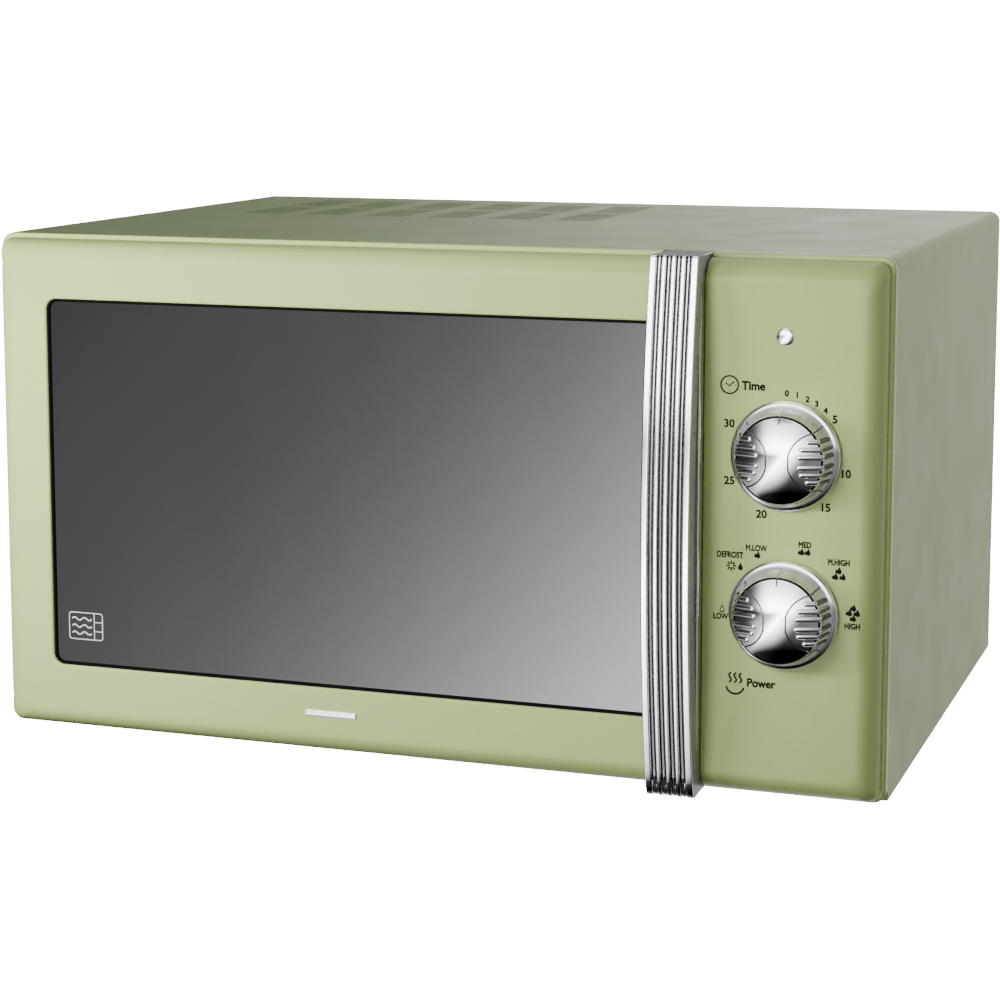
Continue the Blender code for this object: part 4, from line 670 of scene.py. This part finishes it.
# Each grip rib's distance from the middle and where it starts
RIB_ROWS = ((2.5 * MM, 9.1 * MM), (6.15 * MM, 10.2 * MM), (9.8 * MM, 13.0 * MM))
RIB_END_R = 24.4 * MM
# A knob's finishes after the first, which is bright chrome
# The shade faces get chrome darkened as painted shade
SKIRT_FACES, PAINTED_SHADE_FACES, RIM_REFLECTION_FACES = 1, 2, 3


def knob_surface(radius):
    """Height of the knob's outer surface over its back at a distance from its axis."""
    if radius <= FACE_R:
        return KNOB_HEIGHT + KNOB_DOME * (1 - (radius / FACE_R) ** 2)
    for (r0, h0), (r1, h1) in zip(SKIRT, SKIRT[1:]):
        if radius <= r1 * MM:
            return (h0 + (h1 - h0) * (radius / MM - r0) / (r1 - r0)) * MM
    return SKIRT[-1][1] * MM


def sweep(bm, path, size, sides=8):
    """Sweep an oval along frames of (place, across, out, scale); size is half its width and height."""
    rows = []
    for place, across, out, scale in path:
        row = []
        for i in range(sides):
            turn = 2 * math.pi * i / sides
            row.append(bm.verts.new(place + across * (size[0] * scale * math.cos(turn))
                                    + out * (size[1] * scale * math.sin(turn))))
        rows.append(row)
    for near, far in zip(rows, rows[1:]):
        for i in range(sides):
            j = (i + 1) % sides
            bm.faces.new((near[i], near[j], far[j], far[i]))
    bm.faces.new(rows[0])
    bm.faces.new(rows[-1])


def surface_frames(points, scales=None):
    """Frames along (x, z) points on the knob: place, direction across the path, and outward."""
    frames = []
    spots = [Vector((x, z, knob_surface(math.hypot(x, z)))) for x, z in points]
    for i, spot in enumerate(spots):
        ahead = spots[min(i + 1, len(spots) - 1)] - spots[max(i - 1, 0)]
        along = ahead.normalized()
        radial = Vector((spot.x, spot.y, 0)).normalized() if spot.xy.length > 1e-6 else Vector((1, 0, 0))
        step = 0.2 * MM
        radius = spot.xy.length
        slope = (knob_surface(radius + step) - knob_surface(max(radius - step, 0))) / (2 * step)
        out = Vector((-radial.x * slope, -radial.y * slope, 1)).normalized()
        across = along.cross(out).normalized()
        out = across.cross(along).normalized()
        frames.append((spot, across, out, scales[i] if scales else 1.0))
    return frames


def lobe_outline(side):
    """Points of a lobe's outline, from the flange over the face and back to the flange."""
    radial = []
    for i in range(12):
        radius = (24.6 - 4.3 * i / 12) * MM
        radial.append((radius * math.cos(LOBE_ANGLE), radius * math.sin(LOBE_ANGLE)))
    start = Vector((FACE_R * math.cos(LOBE_ANGLE) - LOBE_CENTRE, FACE_R * math.sin(LOBE_ANGLE)))
    first = math.atan2(start.y, start.x)
    last = math.acos((LOBE_LINE - LOBE_CENTRE) / LOBE_RADIUS)
    curve = []
    for i in range(19):
        turn = first + (last - first) * i / 18
        curve.append((LOBE_CENTRE + LOBE_RADIUS * math.cos(turn), LOBE_RADIUS * math.sin(turn)))
    half = radial + curve
    straight = half[-1][1]
    middle = [(LOBE_LINE, straight * (1 - i / 3)) for i in range(1, 6)]
    outline = half + middle + [(x, -z) for x, z in reversed(half)]
    return [(side * x, z) for x, z in outline]


def share_finishes(target, other):
    """Give an object the finishes of the piece it will cut or join."""
    for finish in target.data.materials:
        other.data.materials.append(finish)
    return other


def knob_body(name):
    profile = [(0.0, KNOB_HEIGHT + KNOB_DOME)]
    for i in range(1, 26):
        radius = FACE_R * i / 26
        profile.append((radius, knob_surface(radius)))
    profile += [(r * MM, h * MM) for r, h in SKIRT]
    profile += [(FLANGE_R, 0.6 * MM), (26.8 * MM, 0.15 * MM), (26.4 * MM, 0.0), (22 * MM, 0.0),
                (21 * MM, 4 * MM), (6 * MM, 4 * MM), (6 * MM, 0.0), (SHAFT_R, 0.0), (SHAFT_R, 9 * MM),
                (0.0, 9 * MM)]
    made = turned(name, profile, Matrix.Identity(4), 96, CHROME)
    for finish in (SKIRT_CHROME, SHADE_DARKENED_CHROME, RIM_DARK_REFLECTION_CHROME):
        made.data.materials.append(finish)
    for face in made.data.polygons:
        radius = face.center.xy.length
        if face.center.z > 3.2 * MM and radius > FACE_R + 1.0 * MM:
            face.material_index = SKIRT_FACES
        # A narrow band round the dome's rim is painted near black as a dark reflection
        elif face.center.z > 10 * MM and radius > FACE_R - 0.3 * MM:
            face.material_index = RIM_REFLECTION_FACES
    return made


def cut_lobe_grooves(made):
    grooves = bmesh.new()
    for side in (-1, 1):
        sweep(grooves, surface_frames(lobe_outline(side)), (0.38 * MM, 0.38 * MM))
    cutter = share_finishes(made, from_bmesh("lobe_grooves", grooves))
    # The groove walls get chrome darkened as painted shade
    for face in cutter.data.polygons:
        face.material_index = PAINTED_SHADE_FACES
    change(made, cutter, "DIFFERENCE")


def grip_rib(side, z, first):
    """Frames along a grip rib, which narrows to a round tip at both ends."""
    end = math.sqrt(RIB_END_R ** 2 - z * z)
    points = []
    scales = []
    count = 34
    for i in range(count + 1):
        x = first + (end - first) * i / count
        points.append((side * x, z))
        near = min(x - first, end - x) / (1.35 * MM)
        scales.append(max(0.12, math.sqrt(max(0.0, 1 - max(0.0, 1 - near) ** 2))))
    return surface_frames(points, scales)


def add_grip_ribs(made):
    ribs = bmesh.new()
    for side in (-1, 1):
        for row, first in RIB_ROWS:
            for up in (-1, 1):
                sweep(ribs, grip_rib(side, up * row, first), (1.3 * MM, 0.75 * MM), 12)
    ribbing = share_finishes(made, from_bmesh("grip_ribs", ribs))
    # The grip ribs' steep sides get chrome darkened as painted shade
    for face in ribbing.data.polygons:
        if max(abs(face.normal.x), abs(face.normal.y)) > 0.78:
            face.material_index = PAINTED_SHADE_FACES
    change(made, ribbing, "UNION")


def add_index_line(made):
    index = bmesh.new()
    points = [(0.0, (17.2 + 6.2 * i / 16) * MM) for i in range(17)]
    sweep(index, surface_frames(points), (0.42 * MM, 0.45 * MM))
    change(made, from_bmesh("index_line", index), "UNION")


def knob(name, joint_spot, body, node):
    made = knob_body(name)
    cut_lobe_grooves(made)
    add_grip_ribs(made)
    add_index_line(made)
    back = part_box(node)[1].y
    made.data.transform(Matrix.Translation((joint_spot.x, back, joint_spot.z)) @ TO_FRONT)
    smooth(made, 38)
    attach(made, body)
    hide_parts(node)


# ------------------------------------------------ casing

VENT_COLUMNS = 6
VENT_LEFT = -185 * MM
VENT_SPACING = 39 * MM
VENT_STARTS = (197 * MM, 267 * MM)
VENT_SLOTS = 12
SLOT_SPACING = 5.1 * MM
SLOT_LONG = 25 * MM
SLOT_WIDE = 2.5 * MM


def casing_path(inset, y):
    """The casing's section, up its left side, over the top and down its right side."""
    side = RIGHT - inset
    top = TOP - inset
    radius = max(6 * MM - inset, 1.5 * MM)
    points = [(-side, BOTTOM)]
    points += arc(-side + radius, top - radius, radius, 180, 90, 12)
    points += arc(side - radius, top - radius, radius, 90, 0, 12)
    points.append((side, BOTTOM))
    return [(x, y, z) for x, z in points]


def casing():
    bm = bmesh.new()
    rows = []
    for inset, y in ((5 * MM, FACE), (0.25 * MM, FACE), (0, FACE + 0.25 * MM), (0, REAR - 0.3 * MM),
                     (0.3 * MM, REAR), (7 * MM, REAR)):
        rows.append([bm.verts.new(point) for point in casing_path(inset, y)])
    for near, far in zip(rows, rows[1:]):
        for i in range(len(near) - 1):
            bm.faces.new((near[i], near[i + 1], far[i + 1], far[i]))
    mesh = bpy.data.meshes.new("casing_wrap")
    bm.to_mesh(mesh)
    bm.free()
    made = bpy.data.objects.new("casing_wrap", mesh)
    bpy.context.scene.collection.objects.link(made)
    mesh.materials.append(PAINTED_SHEET)
    sheet = made.modifiers.new("sheet", "SOLIDIFY")
    sheet.thickness = 1 * MM
    sheet.offset = -1.0
    sheet.use_even_offset = True
    apply_steps(made)
    cuts = []
    for column in range(VENT_COLUMNS):
        x = VENT_LEFT + VENT_SPACING * column
        for start in VENT_STARTS:
            for row in range(VENT_SLOTS):
                y = FRONT + start + row * SLOT_SPACING
                cuts.append(((x, y, TOP - 4 * MM), (x + SLOT_LONG, y + SLOT_WIDE, TOP + 4 * MM)))
    change(made, boxes("vent_cuts", cuts), "DIFFERENCE")
    smooth(made)
    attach(made, "oven_body")
    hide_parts("outer_casing")


# ------------------------------------------------ print

PRINT_THICK = 0.06 * MM


def add_prism(bm, outline, y, thick=PRINT_THICK):
    """A thin raised shape from a flat (x, z) outline."""
    near = [bm.verts.new((x, y - thick, z)) for x, z in outline]
    far = [bm.verts.new((x, y, z)) for x, z in outline]
    bm.faces.new(near)
    bm.faces.new(list(reversed(far)))
    for i in range(len(outline)):
        j = (i + 1) % len(outline)
        bm.faces.new((near[j], near[i], far[i], far[j]))


def add_band(bm, outer, inner, y):
    """A thin closed band between two outlines with equally many points."""
    rows = []
    top = y - PRINT_THICK
    for outline, depth in ((outer, y), (outer, top), (inner, top), (inner, y)):
        rows.append([bm.verts.new((x, depth, z)) for x, z in outline])
    for near, far in zip(rows, rows[1:] + rows[:1]):
        for i in range(len(outer)):
            j = (i + 1) % len(outer)
            bm.faces.new((near[i], near[j], far[j], far[i]))


def stroke(points, width):
    """The outline of a line of some width along points."""
    left = []
    right = []
    for i, (x, z) in enumerate(points):
        x0, z0 = points[max(i - 1, 0)]
        x1, z1 = points[min(i + 1, len(points) - 1)]
        length = math.hypot(x1 - x0, z1 - z0)
        nx, nz = -(z1 - z0) / length, (x1 - x0) / length
        left.append((x + nx * width / 2, z + nz * width / 2))
        right.append((x - nx * width / 2, z - nz * width / 2))
    return left + right[::-1]


def drop_outline(x, z, size):
    """A drop with its point up."""
    return [(x, z + size * 0.62)] + arc(x, z - size * 0.15, size * 0.36, 25, -205, 12)


def add_text(texts, words, x, z, size, bold, wide=1.0):
    curve = bpy.data.curves.new("words", "FONT")
    curve.body = words
    curve.size = size
    curve.align_x = "CENTER"
    curve.align_y = "CENTER"
    curve.resolution_u = 5
    curve.extrude = 0.01 * MM
    curve.bevel_depth = bold
    curve.bevel_resolution = 0
    made = bpy.data.objects.new("words", curve)
    bpy.context.scene.collection.objects.link(made)
    made.matrix_world = Matrix.Translation((x, FRONT, z)) @ TO_FRONT @ Matrix.Diagonal((wide, 1, 1, 1))
    texts.append(made)


def text_into(bm, texts):
    bpy.context.view_layer.update()
    graph = bpy.context.evaluated_depsgraph_get()
    for made in texts:
        mesh = bpy.data.meshes.new_from_object(made.evaluated_get(graph))
        mesh.transform(made.matrix_world)
        bm.from_mesh(mesh)
        bpy.data.meshes.remove(mesh)
        bpy.data.objects.remove(made, do_unlink=True)


def dial_words(bm):
    texts = []
    small = 4.0 * MM
    large = 5.4 * MM
    title = 5.8 * MM
    bold = 0.19 * MM
    bolder = 0.23 * MM
    for words, x, z in (("0", 192.4, 215.1), ("1", 197.5, 214.4), ("2", 202.5, 212.7),
                        ("3", 207.0, 210.7), ("4", 211.4, 207.6)):
        add_text(texts, words, x * MM, z * MM, small, bold)
    for words, x, z in (("5", 216.0, 203.5), ("10", 221.5, 177.5), ("15", 212.0, 160.6),
                        ("20", 180.8, 155.6), ("25", 164.7, 171.2), ("30", 164.3, 199.2)):
        add_text(texts, words, x * MM, z * MM, large, bold)
    for words, x, z in (("DEFROST", 165.5, 134.7), ("M.LOW", 178.5, 138.7), ("MED", 202.4, 141.8),
                        ("M.HIGH", 219.1, 134.3), ("HIGH", 226.1, 103.5), ("LOW", 161.1, 103.8)):
        add_text(texts, words, x * MM, z * MM, small, bold, 0.78)
    add_text(texts, "Time", 176.1 * MM, 217.9 * MM, title, bolder, 0.96)
    add_text(texts, "Power", 181.7 * MM, 71.6 * MM, title, bolder, 0.92)
    text_into(bm, texts)


def clock_symbol(bm):
    clock = (164.3 * MM, 218.2 * MM)
    add_band(bm, arc(*clock, 4.7 * MM, 0, 354, 59), arc(*clock, 3.9 * MM, 0, 354, 59), FRONT)
    hands = [(clock[0] + x * MM, clock[1] + z * MM) for x, z in ((-1.9, 0.9), (-0.2, -0.6), (2.2, 1.6))]
    add_prism(bm, stroke(hands, 0.75 * MM), FRONT)
    for turn in range(0, 360, 90):
        spot = Vector((math.cos(math.radians(turn)), math.sin(math.radians(turn)))) * 3.1 * MM
        add_prism(bm, arc(clock[0] + spot.x, clock[1] + spot.y, 0.28 * MM, 0, 330, 11), FRONT)


def drop_symbols(bm):
    """A single drop, pairs of overlapping drops round the power dial, and an open drop."""
    add_prism(bm, drop_outline(170.8 * MM, 129.1 * MM, 3.4 * MM), FRONT)
    for x, z in ((179.2, 135.5), (200.7, 138.4), (203.9, 138.4), (219.1, 130.4), (217.5, 127.5),
                 (221.1, 127.5), (226.5, 112.7), (224.5, 110.2), (228.3, 110.2), (226.5, 107.6)):
        add_prism(bm, drop_outline((x + 0.3) * MM, z * MM, 3.2 * MM), FRONT)
        add_prism(bm, drop_outline((x - 1.0) * MM, (z - 0.3) * MM, 2.0 * MM), FRONT, 0.05 * MM)
    outer = drop_outline(161.9 * MM, 107.6 * MM, 3.6 * MM)
    inner = drop_outline(161.9 * MM, 107.5 * MM, 2.3 * MM)
    add_band(bm, outer, inner, FRONT)


def snowflake_symbol(bm):
    centre = Vector((166.2 * MM, 129.4 * MM))
    for turn in range(0, 360, 45):
        way = Vector((math.cos(math.radians(turn)), math.sin(math.radians(turn))))
        ray = [tuple(centre + way * 0.9 * MM), tuple(centre + way * 2.5 * MM)]
        add_prism(bm, stroke(ray, 0.75 * MM), FRONT)


def steam_symbol(bm):
    """Three wisps of steam over a bowl."""
    for shift in (-2.6, 0.0, 2.6):
        points = []
        for i in range(13):
            share = i / 12
            x = 168.4 + shift + 0.8 * math.sin(share * 2 * math.pi) + 1.0 * share
            points.append((x * MM, (71.2 + 5.0 * share) * MM))
        add_prism(bm, stroke(points, 0.9 * MM), FRONT)
    bowl = arc(168.8 * MM, 70.2 * MM, 4.6 * MM, 195, 345, 14)
    add_prism(bm, stroke(bowl, 0.95 * MM), FRONT)


def panel_print():
    bm = bmesh.new()
    for draw in (dial_words, clock_symbol, drop_symbols, snowflake_symbol, steam_symbol):
        draw(bm)
    made = from_bmesh("panel_print", bm, BLACK_INK)
    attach(made, "oven_body")


def window_print():
    """A small plain symbol of waves in a square on the glass."""
    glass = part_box("door_glass")[0].y
    bm = bmesh.new()
    left, right, low, high = -199.6 * MM, -179.2 * MM, 63.5 * MM, 78.6 * MM

    def square(grow):
        loop = front_loop(left - grow, right + grow, low - grow, high + grow,
                          1.8 * MM + grow, 1.8 * MM + grow, 0, 6)
        return [(x, z) for x, _, z in loop]

    add_band(bm, square(0), square(-0.55 * MM), glass)
    column = right - 5.2 * MM
    add_prism(bm, stroke([(column, low + 0.6 * MM), (column, high - 0.6 * MM)], 0.5 * MM), glass)
    for share in (0.33, 0.66):
        z = low + (high - low) * share
        add_prism(bm, stroke([(column + 0.3 * MM, z), (right - 0.6 * MM, z)], 0.5 * MM), glass)
    for row in range(3):
        points = []
        for i in range(25):
            share = i / 24
            x = left + 2.0 * MM + share * (column - left - 3.6 * MM)
            z = low + (3.6 + 3.9 * row) * MM + 0.75 * MM * math.sin(share * 4 * math.pi)
            points.append((x, z))
        add_prism(bm, stroke(points, 0.75 * MM), glass)
    made = from_bmesh("window_print", bm, PALE_INK)
    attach(made, "door")


def plain_trims():
    """A plain chrome bar under the window and a plain stud on the panel."""
    bar = rounded_box("window_trim_bar", (-60.5 * MM, FRONT - 0.9 * MM, 34.6 * MM),
                      (-31.7 * MM, FRONT + 0.3 * MM, 37.8 * MM), 0.8 * MM, 4, CHROME)
    smooth(bar, 50)
    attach(bar, "door")
    profile = [(0.0, 0.9 * MM), (2.2 * MM, 0.85 * MM), (3.6 * MM, 0.6 * MM), (4.3 * MM, 0.2 * MM),
               (4.4 * MM, -0.3 * MM), (0.0, -0.3 * MM)]
    place = Matrix.Translation((191.2 * MM, FRONT, 242.2 * MM)) @ TO_FRONT
    stud = smooth(turned("panel_trim_stud", profile, place, 40, CHROME), 60)
    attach(stud, "oven_body")


# ------------------------------------------------ fixings

def screw_heads(name, places, body, tall):
    """Pan heads with a cross recess, all in one piece."""
    radius = 3.2 * MM
    profile = [(0.0, tall), (radius * 0.5, tall * 0.93), (radius * 0.85, tall * 0.62),
               (radius, tall * 0.2), (radius, -0.3 * MM), (0.0, -0.3 * MM)]
    bm = bmesh.new()
    for place in places:
        head = turned("head", profile, place, 20)
        bm.from_mesh(head.data)
        bpy.data.objects.remove(head, do_unlink=True)
    heads = from_bmesh(name, bm, SLOT_FINISHES["zinc"])
    arm = Matrix.Translation((0, 0, tall * 0.85)) @ Matrix.Diagonal((radius * 1.15, radius * 0.24, tall, 1.0))
    for turn in (20, 110):
        turned_arm = Matrix.Rotation(math.radians(turn), 4, "Z") @ arm
        cuts = bmesh.new()
        for place in places:
            bmesh.ops.create_cube(cuts, size=1.0, matrix=place @ turned_arm)
        change(heads, from_bmesh("recesses", cuts), "DIFFERENCE")
    smooth(heads, 40)
    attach(heads, body)


def fixings():
    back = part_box("rear_panel")[1].y
    spots = [(x, z) for x in (-231, -80, 75, 231) for z in (24, 271)]
    spots += [(x, z) for x in (-231, 231) for z in (110, 190)]
    places = [Matrix.Translation((x * MM, back, z * MM)) @ TO_BACK for x, z in spots]
    screw_heads("rear_screws", places, "oven_body", 0.95 * MM)
    spots = [(x, y) for x in (-225, 225) for y in (-130, 10, 170)] + [(-90, 168), (60, 168)]
    places = [Matrix.Translation((x * MM, y * MM, BOTTOM)) @ DOWNWARDS for x, y in spots]
    screw_heads("base_screws", places, "oven_body", 1.1 * MM)


# ------------------------------------------------ studio

BACKDROP = 20.0
ROOM_LIGHT = 13.0
FILL_LIGHT = 0.12

# Brightness that reflections find: by height, left to right below and above, and behind
HEIGHT_BANDS = [(0.0, 0.3), (0.03, 0.3), (0.055, 0.004), (0.12, 0.004), (0.14, 0.04), (0.175, 0.16),
                (0.22, 0.38), (0.27, 0.62), (0.36, 1.0), (0.60, 1.0), (0.70, 0.5), (0.80, 0.25),
                (0.83, 0.01), (0.86, 0.01), (0.89, 0.25), (1.0, 0.25)]
LOWER_SWEEP = [(0.0, 0.002), (0.12, 0.004), (0.20, 0.015), (0.28, 0.071), (0.36, 0.086), (0.408, 0.124),
               (0.452, 0.224), (0.488, 0.36), (0.52, 0.60), (0.552, 0.90), (0.576, 0.85), (0.616, 0.60),
               (0.70, 0.42), (0.80, 0.2), (0.90, 0.05), (1.0, 0.01)]
UPPER_SWEEP = [(0.0, 0.002), (0.14, 0.004), (0.21, 0.05), (0.27, 0.5), (0.35, 0.85), (0.52, 0.75),
               (0.60, 0.5), (0.70, 0.2), (0.80, 0.04)]
BEHIND = [(0.0, 0.01), (0.12, 0.013), (0.30, 0.19), (0.42, 0.22), (0.56, 0.11), (1.0, 0.06)]


def light(name, spot, look, size, power):
    """A rectangular lamp that neither the camera nor a reflection sees."""
    data = bpy.data.lights.new(name, "AREA")
    data.shape = "RECTANGLE"
    data.size, data.size_y = size
    data.energy = power
    made = bpy.data.objects.new(name, data)
    bpy.context.scene.collection.objects.link(made)
    made.location = spot
    made.rotation_euler = (Vector(look) - Vector(spot)).to_track_quat("-Z", "Y").to_euler()
    made.visible_glossy = False
    made.visible_camera = False


def grey(value):
    return (value, value, value, 1.0)


def ramp(tree, source, stops, kind="LINEAR"):
    node = tree.nodes.new("ShaderNodeValToRGB")
    tree.links.new(source, node.inputs["Fac"])
    node.color_ramp.interpolation = kind
    elements = node.color_ramp.elements
    while len(elements) > 1:
        elements.remove(elements[-1])
    for number, (place, value) in enumerate(stops):
        element = elements[0] if number == 0 else elements.new(place)
        element.position = place
        element.color = grey(value)
    return node.outputs["Color"]


def math_node(tree, operation, *values):
    node = tree.nodes.new("ShaderNodeMath")
    node.operation = operation
    for place, value in enumerate(values):
        feed(tree, node.inputs[place], value)
    return node.outputs["Value"]


def studio_world():
    """White surroundings for the eye, an even fill, and a graded studio for reflections."""
    world = bpy.data.worlds.new("studio")
    bpy.context.scene.world = world
    world.use_nodes = True
    world.cycles.sampling_method = "NONE"
    tree = world.node_tree
    tree.nodes.clear()
    place = tree.nodes.new("ShaderNodeTexCoord").outputs["Generated"]
    split = tree.nodes.new("ShaderNodeSeparateXYZ")
    tree.links.new(place, split.inputs["Vector"])
    x, y, z = split.outputs
    sideways, depth, height = (math_node(tree, "MULTIPLY_ADD", axis, 0.5, 0.5) for axis in (x, y, z))
    slant = math_node(tree, "MULTIPLY_ADD", z, -0.75, x)
    slant = math_node(tree, "MULTIPLY_ADD", slant, 0.8, 0.6)
    sweep_low = ramp(tree, slant, LOWER_SWEEP, "B_SPLINE")
    sweep_high = ramp(tree, sideways, UPPER_SWEEP, "B_SPLINE")
    is_high = ramp(tree, height, [(0.485, 0.0), (0.54, 1.0)])
    sweeps = mix_colours(tree, is_high, sweep_low, sweep_high)
    front = mix_colours(tree, 1.0, ramp(tree, height, HEIGHT_BANDS), sweeps, "MULTIPLY")
    behind = ramp(tree, math_node(tree, "ADD", x, 0.5), BEHIND)
    is_behind = ramp(tree, depth, [(0.49, 0.0), (0.56, 1.0)])
    room = tree.nodes.new("ShaderNodeVectorMath")
    room.operation = "SCALE"
    room.inputs["Scale"].default_value = ROOM_LIGHT
    tree.links.new(mix_colours(tree, is_behind, front, behind), room.inputs[0])
    path = tree.nodes.new("ShaderNodeLightPath")
    fill = mix_colours(tree, path.outputs["Is Diffuse Ray"], room.outputs["Vector"], grey(FILL_LIGHT))
    seen = mix_colours(tree, path.outputs["Is Camera Ray"], fill, grey(BACKDROP))
    shader = tree.nodes.new("ShaderNodeBackground")
    tree.links.new(seen, shader.inputs["Color"])
    out = tree.nodes.new("ShaderNodeOutputWorld")
    tree.links.new(shader.outputs["Background"], out.inputs["Surface"])


def floor():
    """Plain paper that glows as white as the surroundings."""
    bm = bmesh.new()
    bmesh.ops.create_grid(bm, x_segments=1, y_segments=1, size=30)
    made = from_bmesh("studio_floor", bm)
    finish = Finish("floor_paper")
    paper = finish.spread(finish.noise(3, 3), 0, 1)
    finish.set(Base_Color=finish.mix(paper, (0.43, 0.43, 0.43), (0.45, 0.45, 0.45)), Roughness=1.0,
               Emission_Color=grey(1), Emission_Strength=BACKDROP, Specular_IOR_Level=0.0)
    made.data.materials.append(finish.material)
    made.visible_glossy = False
    made.visible_diffuse = False


CAMERA_SPOT = (0.4535, -1.3408, 0.3812)
CAMERA_TURN = math.radians(19.208)
CAMERA_TILT = math.radians(90 - 7.649)


def camera():
    data = bpy.data.cameras.new("camera")
    data.sensor_width = 36
    data.lens = 90.17
    data.shift_y = -0.12
    data.clip_end = 100
    made = bpy.data.objects.new("camera", data)
    bpy.context.scene.collection.objects.link(made)
    made.location = CAMERA_SPOT
    made.rotation_euler = (CAMERA_TILT, 0, CAMERA_TURN)
    bpy.context.scene.camera = made


def build():
    casing()
    door_moulding()
    panel_moulding()
    window_glass()
    handle_bar()
    backing_strip()
    knob("timer_grip_knob", TIMER, "timer", "timer_knob")
    knob("power_grip_knob", POWER, "power", "power_knob")
    panel_print()
    window_print()
    plain_trims()
    fixings()
    floor()
    studio_world()
    light("key_strip", (-0.42, -0.50, 0.262), (-0.42, -0.17, 0.15), (0.6, 0.04), 5.0)
    light("front_fill", (0.04, -0.52, 0.31), (0.14, -0.17, 0.18), (0.12, 0.1), 1.05)
    light("panel_fill", (0.50, -0.75, 0.14), (0.15, -0.17, 0.12), (0.2, 0.2), 0.35)
    light("rear_fill", (0.0, 1.5, 0.12), (0.0, 0.2, 0.13), (0.9, 0.2), 6.0)
    light("side_fill", (1.25, 0.3, 0.45), (0.24, 0.0, 0.18), (0.8, 0.8), 3.3)
    light("overhead", (0.55, 0.3, 0.9), (0.15, 0.05, 0.28), (0.4, 0.4), 1.25)
    camera()


build()
